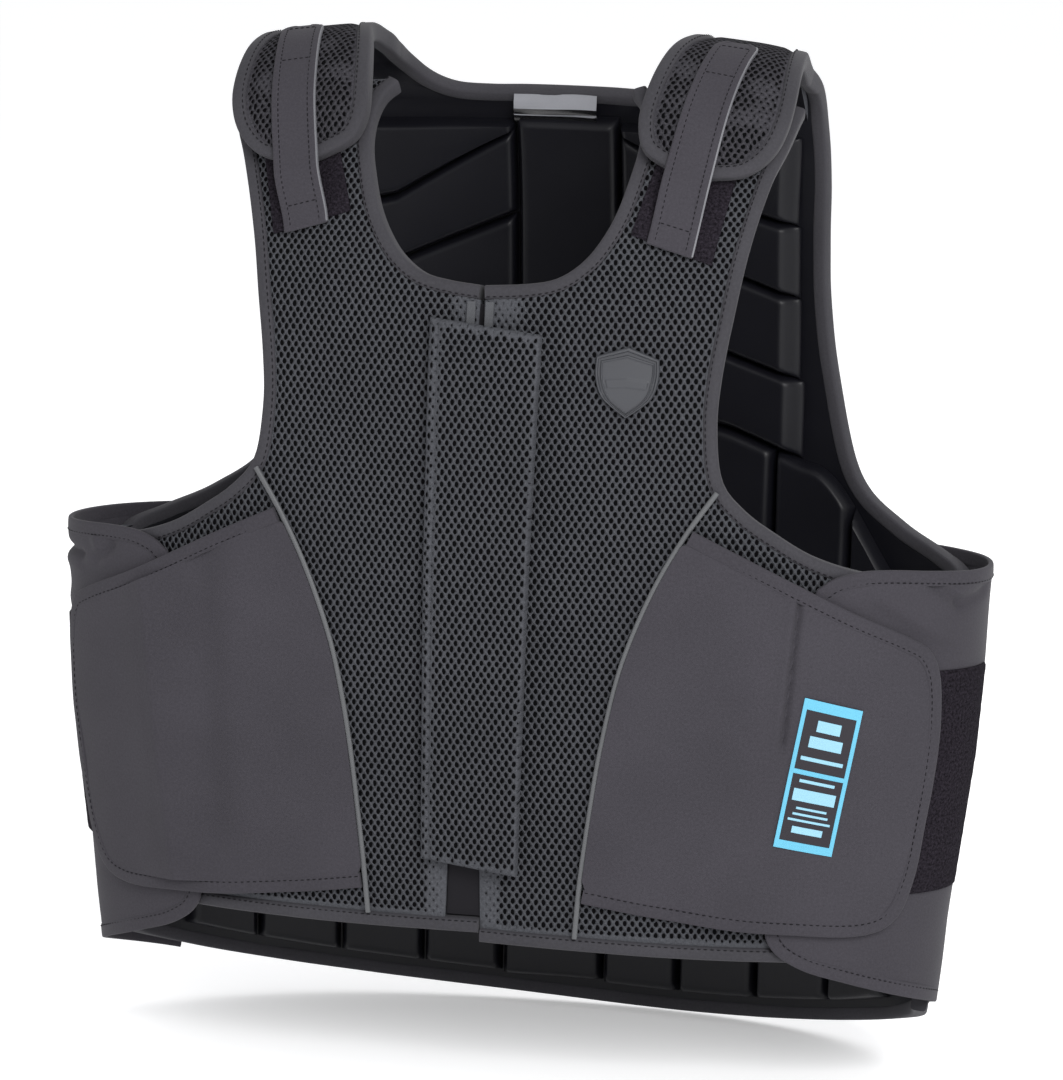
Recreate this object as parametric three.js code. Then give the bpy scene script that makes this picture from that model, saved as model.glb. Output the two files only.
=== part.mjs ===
// Riding body protector: a padded vest, shown closed and filled out as on a body.
// Millimetres, +Z up, the front faces -Y, the wearer's left is +X.
// The origin is the seat on the shoulders, midway between them.
import * as THREE from 'three';

// Named sizes
const CHEST_HALF = 262;
const FRONT_DEEP = 116;
const BACK_DEEP = 119;
const BODY_LONG = 640;
const CREST_DROP = 12;
const CREST_DEEP = 45;
const SHOULDER_ARC = 196;
const SHOULDER_DROP = 142;
const ROUNDNESS = 2.15;
const SEAT_BACK = 12;
const SEAT_DOWN = 12;
const FRONT_THICK = 15;
const SHOULDER_THICK = 9;
const SLAB_THICK = 8;
const PAD_THICK = 11.5;
const PAD_GAP = 0.65;
const PAD_BEVEL = 4.5;
const SLIT = 1.8;
const WING_LIFT = 2;
const FLAP_HIGH = 6.8;
const CLOTH = 2.6;
const TAPE_WIDE = 8.5;
const TAPE_RISE = 0.6;
const GAP = 0.35;
const FRONT_HEM = 557;
const BACK_HEM = 640;
const ARM_LOW = 352;
const SIDE_FRONT = 250;
const SIDE_BACK = 290;
const NECK_FRONT = 195;
const NECK_BACK = 91;
const FLAP_END = 128.5;
const FLAP_THICK = 10.6;
const FLAP_LIFT = 14;
const FLAP_TAPER = 3.6;
const STRAP_WIDE = 25;
const SPINE_HALF = 31;
const TILT = 2.5;
const HEM_TILT = 7;

// Body form: profile of the centre, from the shoulder line down, as shares of the named sizes.
// Each row is [depth share, drop share of the body length].
const FRONT_LINE = [
  [-0.19, 0.03], [-0.448, 0.058], [-0.655, 0.105], [-0.81, 0.175], [-0.905, 0.258],
  [-0.966, 0.375], [-1, 0.5], [-1, 0.656], [-0.974, 0.781], [-0.948, 0.969],
];
const BACK_LINE = [
  [0.387, 0.027], [0.647, 0.05], [0.824, 0.095], [0.924, 0.172], [0.983, 0.281],
  [1, 0.406], [0.975, 0.5625], [0.941, 0.719], [0.941, 0.875], [0.958, 1],
];
// Half width of the body at a drop: [drop share, width share].
const WIDTH_LINE = [
  [0, 0.82], [0.094, 0.87], [0.203, 0.935], [0.344, 0.992], [0.469, 1],
  [0.625, 0.977], [0.781, 0.928], [0.875, 0.905], [1, 0.893],
];
// Where front and back meet: [drop share, share of the seat's set-back].
const SIDE_LINE = [[0, 1], [0.094, 0.833], [0.234, 0.417], [0.39, 0], [1, 0]];

const smooth = (from, to, value) => {
  const t = THREE.MathUtils.clamp((value - from) / (to - from), 0, 1);
  return t * t * (3 - 2 * t);
};
const mix = (a, b, t) => a + (b - a) * t;

// Reads a table of [input, output] rows by straight lines between them.
function read(table, input) {
  if (input <= table[0][0]) return table[0][1];
  for (let i = 1; i < table.length; i += 1) {
    if (input <= table[i][0]) {
      const [a, b] = [table[i - 1], table[i]];
      return mix(a[1], b[1], (input - a[0]) / (b[0] - a[0]));
    }
  }
  return table[table.length - 1][1];
}

// A smooth line through points, sampled finely, with its length at each sample.
function smoothLine(points, steps) {
  const curve = new THREE.CatmullRomCurve3(
    points.map(([a, b]) => new THREE.Vector3(a, b, 0)), false, 'catmullrom', 0.5);
  const out = [];
  let length = 0;
  for (let i = 0; i <= steps; i += 1) {
    const p = curve.getPoint(i / steps);
    if (i > 0) length += Math.hypot(p.x - out[i - 1][1], p.y - out[i - 1][2]);
    out.push([length, p.x, p.y]);
  }
  return out;
}

const profilePoints = [
  ...FRONT_LINE.map(([d, s]) => [d * FRONT_DEEP, s * BODY_LONG]).reverse(),
  [SEAT_BACK, CREST_DROP],
  ...BACK_LINE.map(([d, s]) => [d * BACK_DEEP, s * BODY_LONG]),
];
const SAMPLES = 480;
const profile = smoothLine(profilePoints, SAMPLES);
const crestAt = profile[Math.round((SAMPLES * FRONT_LINE.length) / (profilePoints.length - 1))][0];
// Both sides of the shoulder are measured as one length, so that front and back patterns keep their places.
const arcTo = (rows) => Math.abs(read(rows.map(([s, , d]) => [d, s]), SHOULDER_DROP) - crestAt);
const frontArc = arcTo(profile.filter(([s]) => s <= crestAt).reverse());
const backArc = arcTo(profile.filter(([s]) => s >= crestAt));
const runAt = (s) => {
  const [side, arc] = s < crestAt ? [-1, frontArc] : [1, backArc];
  const length = Math.abs(s - crestAt);
  return side * (length < arc ? (length * SHOULDER_ARC) / arc : length - arc + SHOULDER_ARC);
};
const depthTable = profile.map(([s, y]) => [runAt(s), y]);
const dropTable = profile.map(([s, , d]) => [runAt(s), d]);
const frontSide = profile.filter(([s]) => s <= crestAt).map(([, y, d]) => [d, y]).reverse();
const backSide = profile.filter(([s]) => s >= crestAt).map(([, y, d]) => [d, y]);

// One section across the body at a run along the profile: negative runs are the front.
const RING = 120;
const sectionCache = new Map();
function section(run) {
  const key = run.toFixed(2);
  if (sectionCache.has(key)) return sectionCache.get(key);
  const y = read(depthTable, run);
  const drop = read(dropTable, run);
  const slopeY = read(depthTable, run + 1.5) - read(depthTable, run - 1.5);
  const slopeD = read(dropTable, run + 1.5) - read(dropTable, run - 1.5);
  const side = run > 0 ? 1 : -1;
  const lean = Math.atan2(slopeY, slopeD * side) * (1 - smooth(60, 140, drop));
  const [outY, outZ] = [Math.cos(lean) * side, Math.sin(lean)];
  const share = drop / BODY_LONG;
  const half = CHEST_HALF * read(WIDTH_LINE, share);
  const middle = SEAT_BACK * read(SIDE_LINE, share);
  const near = mix(CREST_DEEP, Math.abs(y - middle), smooth(CREST_DROP, 130, drop));
  const far = Math.abs(read(run < 0 ? backSide : frontSide, drop) - middle);
  const rows = [];
  let length = 0;
  for (let i = 0; i <= RING; i += 1) {
    const angle = (Math.PI * i) / RING;
    const across = half * Math.abs(Math.sin(angle)) ** (2 / ROUNDNESS);
    const along = Math.abs(Math.cos(angle)) ** (2 / ROUNDNESS);
    const sag = angle <= Math.PI / 2 ? near * (1 - along) : near + far * along;
    const p = [across, y - outY * sag, -drop - outZ * sag];
    if (i > 0) {
      const q = rows[i - 1][1];
      length += Math.hypot(p[0] - q[0], p[1] - q[1], p[2] - q[2]);
    }
    rows.push([length, p]);
  }
  sectionCache.set(key, rows);
  return rows;
}
const girthHalf = (run) => section(run)[RING][0];

// A point of the body form: u across from the centre, run along from the shoulder line.
function form(u, run) {
  const rows = section(run);
  const a = Math.min(Math.abs(u), rows[RING][0] - 0.01);
  let [low, high] = [0, RING];
  while (high - low > 1) {
    const m = (low + high) >> 1;
    if (rows[m][0] <= a) low = m;
    else high = m;
  }
  const t = (a - rows[low][0]) / (rows[high][0] - rows[low][0]);
  const [p, q] = [rows[low][1], rows[high][1]];
  const s = u < 0 ? -1 : 1;
  return new THREE.Vector3(s * mix(p[0], q[0], t), mix(p[1], q[1], t), mix(p[2], q[2], t));
}

// The same point lifted off the form by h, in the part's frame.
function skin(u, run, h) {
  const step = 2;
  const across = form(u + step, run).sub(form(u - step, run));
  const along = form(u, run + step).sub(form(u, run - step));
  const normal = across.cross(along).normalize();
  return form(u, run).addScaledVector(normal, h)
    .add(new THREE.Vector3(0, -SEAT_BACK, SEAT_DOWN));
}

// A line in pattern coordinates: at(t) for t from 0 to 1 gives [u, run].
function line(points, curved = true) {
  const rows = curved ? smoothLine(points, 96)
    : smoothLine(points.flatMap((p, i) => (i ? [[mix(points[i - 1][0], p[0], 0.5),
      mix(points[i - 1][1], p[1], 0.5)], p] : [p])), 96);
  const total = rows[rows.length - 1][0];
  const us = rows.map(([s, u]) => [s / total, u]);
  const runs = rows.map(([s, , r]) => [s / total, r]);
  return (t) => [read(us, t), read(runs, t)];
}
// The same line moved sideways in the pattern; a positive width goes to its left.
function inset(path, width) {
  return (t) => {
    const [a, b] = [path(Math.max(0, t - 0.01)), path(Math.min(1, t + 0.01))];
    const size = Math.hypot(b[0] - a[0], b[1] - a[1]);
    const p = path(t);
    return [p[0] - ((b[1] - a[1]) / size) * width, p[1] + ((b[0] - a[0]) / size) * width];
  };
}
const mirrored = (path, side) => (t) => {
  const [u, r] = path(t);
  return [u * side, r];
};

const vest = new THREE.Group();
const COLOURS = {
  mesh: 0x46484c, softshell: 0x4b484c, tape: 0x4b4b4e, piping: 0x96989c, lining: 0x15161c,
  hook: 0x1c1c1f, rubber: 0x3c3d40, label: 0x64c8e1, zip: 0x6a6b6e, silver: 0xa8a9ab,
};
const materials = Object.fromEntries(Object.entries(COLOURS).map(([name, colour]) => (
  [name, new THREE.MeshStandardMaterial({ color: colour, roughness: 0.85 })])));

// A closed body: a box of rows and columns laid on the form.
// at(w, v) gives [u, run]; lift(w, v, u, run) gives [outer h, inner h]; place turns both into a point.
function lay(name, material, cols, rows, at, lift, place = skin) {
  const geometry = new THREE.BoxGeometry(1, 1, 1, cols, rows, 1);
  const pos = geometry.attributes.position;
  for (let i = 0; i < pos.count; i += 1) {
    const [w, v] = [pos.getX(i) + 0.5, pos.getY(i) + 0.5];
    const [u, run] = at(w, v);
    const [outer, inner] = lift(w, v, u, run);
    const p = place(u, run, pos.getZ(i) > 0 ? outer : inner);
    pos.setXYZ(i, p.x, p.y, p.z);
  }
  const index = geometry.index.array;
  let volume = 0;
  const [a, b, c] = [new THREE.Vector3(), new THREE.Vector3(), new THREE.Vector3()];
  for (let i = 0; i < index.length; i += 3) {
    a.fromBufferAttribute(pos, index[i]);
    b.fromBufferAttribute(pos, index[i + 1]);
    c.fromBufferAttribute(pos, index[i + 2]);
    volume += a.dot(b.cross(c));
  }
  if (volume < 0) {
    for (let i = 0; i < index.length; i += 3) [index[i], index[i + 1]] = [index[i + 1], index[i]];
  }
  geometry.computeVertexNormals();
  const mesh = new THREE.Mesh(geometry, materials[material]);
  mesh.name = name;
  vest.add(mesh);
}

// Binding tape along a line: a rounded bar whose inner side meets the panel.
// inward is +1 when the panel lies to the left of the line in the pattern.
function bind(name, path, segments, inward, faces, width = TAPE_WIDE, material = 'tape') {
  const at = (w, v) => inset(path, inward * [0, 0.3 * width, width][Math.round(w * 2)])(v);
  const lift = (w, v, u, run) => {
    const [top, low] = faces(u, run);
    const nip = Math.min(2.2, (top - low) * 0.3);
    return [[top - nip, low + nip], [top + TAPE_RISE, low - TAPE_RISE], [top, low]][Math.round(w * 2)];
  };
  lay(name, material, 2, segments, at, lift);
}

// Places a share of rows or columns so that the first and last are narrow bevels.
const bevelled = (n, edge) => (w) => {
  const k = Math.round(w * n);
  return k === 0 || k === n ? w : mix(edge, 1 - edge, (k - 1) / (n - 2));
};
const onRim = (w, v) => Math.min(w, 1 - w, v, 1 - v) < 0.01;

// A foam block inside the back, rounded over towards the body.
function pad(name, cols, rows, edges, at) {
  const [across, along] = [bevelled(cols, edges[0]), bevelled(rows, edges[1])];
  lay(name, 'lining', cols, rows, (w, v) => at(across(w), along(v)),
    (w, v) => [-SLAB_THICK - PAD_GAP, -SLAB_THICK - PAD_GAP - PAD_THICK + (onRim(w, v) ? PAD_BEVEL : 0)],
    onBack);
}

// A four-sided patch whose sides follow lines: left and right run upwards, low and high run across.
const patch = (left, right, low, high) => (w, v) => [0, 1].map((k) => (
  mix(left(v)[k], right(v)[k], w) + mix(low(w)[k], high(w)[k], v)
  - mix(mix(left(0)[k], right(0)[k], w), mix(left(1)[k], right(1)[k], w), v)));

// Faces of the layers, as [outer h, inner h] at a place in the pattern
const frontFaces = (u, run) => [0, -mix(SHOULDER_THICK, FRONT_THICK, smooth(110, 240, -run))];
const backFaces = () => [0, -SLAB_THICK];
const shoulderFaces = (u, run) => {
  const taper = FLAP_TAPER * smooth(-85, -FLAP_END, run);
  const top = FLAP_LIFT * (1 - smooth(-55, 45, run)) - taper;
  return [top, top - mix(FLAP_THICK, SLAB_THICK, smooth(20, 90, run)) + taper * 0.9];
};
const wingFaces = () => [WING_LIFT + CLOTH, WING_LIFT];
const flapFaces = (u) => {
  const inner = mix(0.9, FLAP_HIGH, smooth(105, 158, Math.abs(u)));
  return [inner + CLOTH, inner];
};

// Outlines of the left half, in pattern coordinates: [u, run], the front with negative runs
const neckFrontFrom = (start) => line([
  [start, -NECK_FRONT], [22, -193], [38, -189], [51, -179], [60, -166], [67, -150],
  [72, -130], [75, -112], [75, -95], [72, -80], [66, -70],
]);
const armFront = line([
  [162, -68], [157, -98], [150, -124], [142, -165], [136, -203], [130.5, -240], [129, -268],
  [133, -297], [146, -313], [163, -325], [186, -338], [215, -347], [SIDE_FRONT, -ARM_LOW],
]);
const neckBack = line([
  [0, NECK_BACK], [24, NECK_BACK], [46, NECK_BACK + 0.5], [66, 89], [80, 79], [88, 62], [90, 40],
]);
// The shoulder flap's neck side leans out a little more on the wearer's left.
const flapNeckSide = (lean) => [
  [90, 40], [88.5 + lean * 0.2, 26], [86.5 + lean * 0.7, 8], [81 + lean * 1.3, -18], [76 + lean, -48],
  [72.5 + lean * 0.7, -78],
  [70.5 + lean * 0.7, -99], [73 + lean, -115], [84 + lean * 1.4, -124], [98 + lean, -FLAP_END],
];
const FLAP_ARM_SIDE = [
  [118, -FLAP_END], [136, -124], [149, -110], [155, -92], [156.5, -70], [155.5, -46], [154, -20],
  [152, 10], [151, 40],
];
const shoulderRims = {
  left: line([...flapNeckSide(6), ...FLAP_ARM_SIDE]),
  right: line([...flapNeckSide(8), ...FLAP_ARM_SIDE]),
};
const SHOULDER_CORNERS = [0.474, 0.532];
const armBack = line([
  [151, 40], [153, 64], [154, 100], [157, 147], [158, 213], [166, 268], [182, 318], [211, 340],
  [246, 352.5], [SIDE_BACK, ARM_LOW + 4],
]);
const PIPING_FOOT = 58.5;
const pipingTo = (end) => line([
  [130, -303], [115, -325], [100, -352], [88, -380], [79, -408], [71, -447], [65.5, -485],
  [61, -522], [PIPING_FOOT, end],
]);
const pipingLine = pipingTo(-FRONT_HEM + TAPE_WIDE + TILT + 2);
const flapRimFor = (far) => line([
  [118, -324], [147, -338], [177, -353], [207 + far * 0.2, -368], [238 + far * 0.7, -382],
  [251 + far, -391], [258 + far, -410], [258 + far, -445], [251.5 + far * 0.8, -492],
  [245 + far * 0.5, -522], [234 + far * 0.2, -542], [214, -549], [176, -547], [138, -544],
  [98, -539], [62, -533],
]);
const flapRims = { left: flapRimFor(0), right: flapRimFor(9) };
const wingBack = (run) => girthHalf(run) - 228;
const wingRim = line([
  [wingBack(-352), -352], [300, -350], [256, -347], [226, -345], [206, -346], [189, -353], [183, -370],
  [172, -480], [163, -538], [166, -556], [182, -568], [206, -576.5], [236, -586], [280, -599],
  [wingBack(-614), -617],
]);
const FLAP_CORNERS = [0.312, 0.628];
const WING_CORNERS = [0.385, 0.64];
const ARM_TAIL = 0.155;
const INSIDE = TAPE_WIDE + GAP;

// Stations: the same places along an edge are used by the panel and by its binding.
const armStops = (t) => read([[0, 0], [11 / 16, 0.56], [1, 1]], t);
const backStops = (t) => read([[0, 0], [5 / 15, ARM_TAIL], [1, 1]], t);
const rimStops = (corners) => (t) => read([[0, 0], [1 / 3, corners[0]], [2 / 3, corners[1]], [1, 1]], t);
const flapStops = rimStops(FLAP_CORNERS);
const wingStops = rimStops(WING_CORNERS);
const shoulderStops = (t) => (
  read([[0, 0], [12 / 25, SHOULDER_CORNERS[0]], [13 / 25, SHOULDER_CORNERS[1]], [1, 1]], t));

const hemFront = (side, u = 0) => -FRONT_HEM - side * TILT - (Math.abs(u) * (side > 0 ? 6 : 2)) / 170;
const hemBack = (u) => BACK_HEM + 1 - 38 * (Math.abs(u) / 281) ** 2.6 + HEM_TILT * Math.tanh(u / 140);

// The back panel bends only along these lines, so that the blocks inside lie close against it.
const BENDS = [31, 79, 130, 156, 182, 206, 230, 259];
const BACK_ROWS = 15;
const BACK_SIDE_ROWS = 5;
const armBackIn = inset(armBack, INSIDE);
const backSide1 = armBackIn(1);
const backLow = (u) => hemBack(u) - INSIDE - mix(0.4, 1.1, smooth(190, 281, Math.abs(u)));
const backSideAt = (v, low) => (v <= BACK_SIDE_ROWS / BACK_ROWS
  ? [backSide1[0], mix(low, backSide1[1], (v * BACK_ROWS) / BACK_SIDE_ROWS)]
  : armBackIn(backStops(1 - (v * BACK_ROWS - BACK_SIDE_ROWS) / 15)));
function backVertex(k, side, v) {
  const [sideU, sideRun] = backSideAt(v, backLow(side * backSide1[0]));
  const bend = k < BENDS.length ? BENDS[k] : backSide1[0];
  const share = (bend - BENDS[2]) / (backSide1[0] - BENDS[2]);
  const u = side * (share <= 0 ? bend : mix(BENDS[2], sideU, share));
  const top = NECK_BACK + INSIDE + 0.9;
  const even = mix(backLow(u), top, 1 - (1 - v) ** 1.25);
  return [u, mix(even, v > 0.999 ? top : sideRun, v < 0.001 ? 0 : Math.abs(u / sideU) ** 3)];
}
// Column lines of the back panel, from the right side to the left: [number of the bend, side].
const BACK_COLS = 2 * BENDS.length + 1;
const bendStops = (w) => {
  const k = Math.round(w * BACK_COLS) - BENDS.length;
  return k <= 0 ? [-k, -1] : [k - 1, 1];
};
// A point on one column line of the back panel at a given run: [u there, the point].
const columnLines = new Map();
function onColumn(k, side, run, h) {
  const key = `${k} ${side}`;
  if (!columnLines.has(key)) {
    columnLines.set(key, Array.from({ length: BACK_ROWS + 1 }, (_, j) => backVertex(k, side, j / BACK_ROWS)));
  }
  const rows = columnLines.get(key);
  let j = 0;
  while (j < BACK_ROWS - 1 && rows[j + 1][1] > run) j += 1;
  const [low, high] = [rows[j], rows[j + 1]];
  const t = (run - low[1]) / (high[1] - low[1]);
  return [mix(low[0], high[0], t), skin(low[0], low[1], h).lerp(skin(high[0], high[1], h), t)];
}
function onBack(u, run, h) {
  const side = u < 0 ? -1 : 1;
  let k = 0;
  while (k < BENDS.length && Math.abs(onColumn(k, side, run, h)[0]) < Math.abs(u)) k += 1;
  const [farU, far] = onColumn(k, side, run, h);
  const [nearU, near] = k === 0 ? onColumn(0, -side, run, h) : onColumn(k - 1, side, run, h);
  return near.lerp(far, (u - nearU) / (farU - nearU));
}

const flip = (at, side) => (w, v) => {
  const [u, run] = at(w, v);
  return [u * side, run];
};
const STRAPS = {
  left: { low: [97.5, -172], top: [119, -35] },
  right: { low: [106.5, -168], top: [128, -27] },
};
const centreEdge = { left: { neck: -2.2, hem: 5 }, right: { neck: 4.4, hem: 15 } };

for (const [word, side] of [['left', 1], ['right', -1]]) {
  // Front panel: rows run from the centre edge to the side, the armhole and the shoulder end
  const edge = centreEdge[word];
  const hem = (u) => hemFront(side, u) + INSIDE;
  const neckFront = neckFrontFrom(edge.neck);
  const neckIn = inset(neckFront, -INSIDE);
  const armIn = inset(armFront, -INSIDE);
  const inner = (v) => (v <= 13 / 22
    ? [mix(edge.hem, edge.neck, (v * 22) / 13), mix(hem(edge.hem), -NECK_FRONT - INSIDE, (v * 22) / 13)]
    : neckIn((v * 22 - 13) / 9));
  const outer = (v) => {
    const side1 = armIn(1);
    return v <= 6 / 22 ? [side1[0], mix(hem(side1[0]), side1[1], (v * 22) / 6)]
      : armIn(armStops(1 - (v * 22 - 6) / 16));
  };
  lay(`front_panel_${word}`, 'mesh', 8, 22,
    flip((w, v) => [0, 1].map((k) => mix(inner(v)[k], outer(v)[k], w)), side),
    (w, v, u, run) => frontFaces(u, run));
  bind(`front_neck_binding_${word}`, mirrored(neckFront, side), 9, -side, frontFaces);
  bind(`front_armhole_binding_${word}`, mirrored((t) => armFront(armStops(t)), side), 16, -side, frontFaces);
  const hemStart = word === 'left' ? edge.hem : -4.5;
  bind(`front_hem_binding_${word}`, (t) => {
    const u = mix(t < 0.01 ? hemStart : edge.hem, armIn(1)[0], t);
    return [side * u, hemFront(side, u)];
  }, 8, side, frontFaces);

  // Side flap of cloth, its piping, and its bound edge
  const pipingEnd = hemFront(side, PIPING_FOOT) + INSIDE;
  bind(`piping_${word}`, mirrored(inset(pipingTo(pipingEnd), -1.7), side), 12, side,
    () => [3.2, 0.9], 3.4, 'piping');
  const flapRim = flapRims[word];
  const flapIn = inset(flapRim, -INSIDE);
  const flapSeam = inset(pipingLine, 2.4);
  lay(`side_flap_${word}`, 'softshell', 8, 8, flip(patch(
    (v) => flapSeam(mix(0.905, 0.135, v)),
    (v) => flapIn(flapStops(mix(2, 1, v) / 3)),
    (w) => (w < 0.01 ? flapSeam(0.905) : flapIn(flapStops(1 - w / 3))),
    (w) => (w < 0.01 ? flapSeam(0.135) : flapIn(flapStops(w / 3))),
  ), side), (w, v, u) => flapFaces(u));
  bind(`side_flap_binding_${word}`, mirrored((t) => flapRim(flapStops(t)), side), 24, -side, flapFaces);

  // Wing of cloth from the back panel round the side, under the flap
  const wingIn = inset(wingRim, INSIDE);
  lay(`back_wing_${word}`, 'softshell', 7, 7, flip(patch(
    (v) => wingIn(wingStops(mix(2, 1, v) / 3)),
    (v) => [mix(wingIn(1)[0], wingIn(0)[0], v), mix(wingIn(1)[1], wingIn(0)[1], v)],
    (w) => wingIn(wingStops(mix(2, 3, w) / 3)),
    (w) => wingIn(wingStops(mix(1, 0, w) / 3)),
  ), side), wingFaces);
  bind(`back_wing_binding_${word}`, mirrored((t) => wingRim(wingStops(t)), side), 21, side, wingFaces);
  lay(`wing_hook_patch_${word}`, 'hook', 8, 4, (w, v) => (
    [side * mix(mix(196, 205, v), mix(293, 309, v), w), mix(-526, -400, v) - w * 5]),
  () => [FLAP_HIGH - TAPE_RISE - 0.3, WING_LIFT + CLOTH + 0.6]);

  // Shoulder: hook patch on the front, the back's padded flap over it, the closing strap
  lay(`shoulder_hook_patch_${word}`, 'hook', 3, 5, (w, v) => {
    const [near, low] = side > 0 ? [76, -163] : [82, -156];
    return [side * (near + mix(45, 42, v) * w + v * 16), mix(low, -96, v) - w * mix(16.5, 6, v)];
  }, () => [2.2, 0.5]);
  const tailNeck = inset(neckBack, INSIDE + 0.2);
  const tailArm = inset(armBack, INSIDE);
  const shoulderRim = shoulderRims[word];
  const rimIn = inset(shoulderRim, INSIDE);
  lay(`shoulder_flap_${word}`, 'mesh', 4, 17, flip((w, v) => {
    const tail = (v * 17) / 5;
    const share = (v * 17 - 5) / 25;
    const neck = tail <= 1 ? tailNeck(mix(0.5, 1, tail)) : rimIn(shoulderStops(share));
    const arm = tail <= 1 ? tailArm(mix(ARM_TAIL - 0.006, 0, tail)) : rimIn(shoulderStops(1 - share));
    return [0, 1].map((k) => mix(neck[k], arm[k], w));
  }, side), (w, v, u, run) => shoulderFaces(u, run));
  bind(`shoulder_flap_binding_${word}`, mirrored((t) => shoulderRim(shoulderStops(t)), side), 25, side,
    shoulderFaces);

  const strap = STRAPS[word];
  const strapRun = (v) => mix(strap.low[1], strap.top[1], v);
  lay(`shoulder_strap_${word}`, 'softshell', 2, 16, (w, v) => (
    [side * (mix(strap.low[0], strap.top[0], v) + (w - 0.5) * STRAP_WIDE),
      strapRun(v) - (w - 0.5) * 8 * (1 - v)]
  ), (w, v) => {
    const high = shoulderFaces(0, strapRun(v))[0] + TAPE_RISE + GAP;
    const h = mix(2.7, high, smooth(-166, -FLAP_END - 3, strapRun(v)));
    return [h + CLOTH, h];
  });
  bind(`back_armhole_binding_${word}`, mirrored((t) => armBack(backStops(t)), side), 15, side,
    (u, run) => (run < 60 ? shoulderFaces(u, run) : backFaces()));
}

// Centre front: underlap, zip tapes and the padded placket that covers them
lay('zip_underlap', 'softshell', 1, 8, (w, v) => {
  const run = mix(-FRONT_HEM + TAPE_WIDE + TILT + 1, -NECK_FRONT - TAPE_WIDE - 2, v);
  const t = (run + FRONT_HEM) / (FRONT_HEM - NECK_FRONT);
  return [mix(mix(-15, -4.4, t) + GAP, mix(5, -2.2, t) - GAP, w), run];
}, () => [-3, -9]);
for (const [word, side] of [['left', 1], ['right', -1]]) {
  lay(`zip_tape_${word}`, 'zip', 1, 8, (w, v) => (
    [mix(-5, -3.3, v) + side * mix(1.2, 6, w), mix(-FRONT_HEM + 46, -NECK_FRONT - TAPE_WIDE - 1, v)]
  ), () => [1.4, GAP]);
}
lay('front_placket', 'mesh', 5, 10, (w, v) => {
  const [a, b] = [bevelled(5, 0.08)(w), bevelled(10, 0.02)(v)];
  return [mix(mix(-27.5, -31, b), mix(27, 32, b), a), mix(mix(-513, -214, b), mix(-518, -221, b), a)];
}, (w, v) => [mix(7, 13.5, w) - (onRim(w, v) ? 3 : 0), mix(1.9, 3.5, w)]);

// Badge, woven label and neck label, all without marks
const badgeLeft = line([[78.5, -264], [66, -254], [61.5, -243], [61.5, -231]]);
const badgeRight = line([[79.5, -264], [92, -254], [96, -243], [96, -232]]);
lay('shield_badge', 'rubber', 6, 6, (w, v) => {
  const [s, t] = [bevelled(6, 0.08)(w), bevelled(6, 0.08)(v)];
  const [a, b] = [badgeLeft(t), badgeRight(t)];
  return [mix(a[0], b[0], s), mix(a[1], b[1], s) + 6 * t ** 3 * (1 - Math.abs(2 * s - 1))];
}, (w, v) => [onRim(w, v) ? 2.2 : 3, GAP]);
lay('woven_label', 'label', 3, 5, (w, v) => (
  [mix(mix(165, 180, v), mix(196.5, 211.5, v), w), mix(mix(-495.5, -413, v), mix(-502, -421, v), w)]
), () => [FLAP_HIGH + CLOTH + 1.1, FLAP_HIGH + CLOTH + 0.5]);
const labelDeep = -SLAB_THICK - TAPE_RISE - 0.6;
lay('neck_label', 'silver', 3, 3, (w, v) => [mix(-31, 18, w), mix(108.5, NECK_BACK + 1, v)],
  (w, v) => [labelDeep, labelDeep - 0.8 - 1.2 * Math.sin(Math.PI * v)]);

// Back panel, its neck and hem bindings
lay('back_panel', 'mesh', BACK_COLS, BACK_ROWS, (w, v) => backVertex(...bendStops(w), v), backFaces);
const backNeck = (t) => {
  const [u, r] = neckBack(Math.abs(2 * t - 1));
  return [Math.sign(2 * t - 1) * u, r];
};
bind('back_neck_binding', backNeck, 20, 1, (u, run) => shoulderFaces(u, Math.max(run, 40)));
bind('back_hem_binding', (t) => {
  const place = t * BACK_COLS;
  const [low, high] = [Math.floor(place), Math.ceil(place)]
    .map((i) => backVertex(...bendStops(i / BACK_COLS), 0)[0]);
  const u = mix(low, high, place - Math.floor(place));
  return [u, hemBack(u)];
}, BACK_COLS, -1, backFaces);

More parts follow.
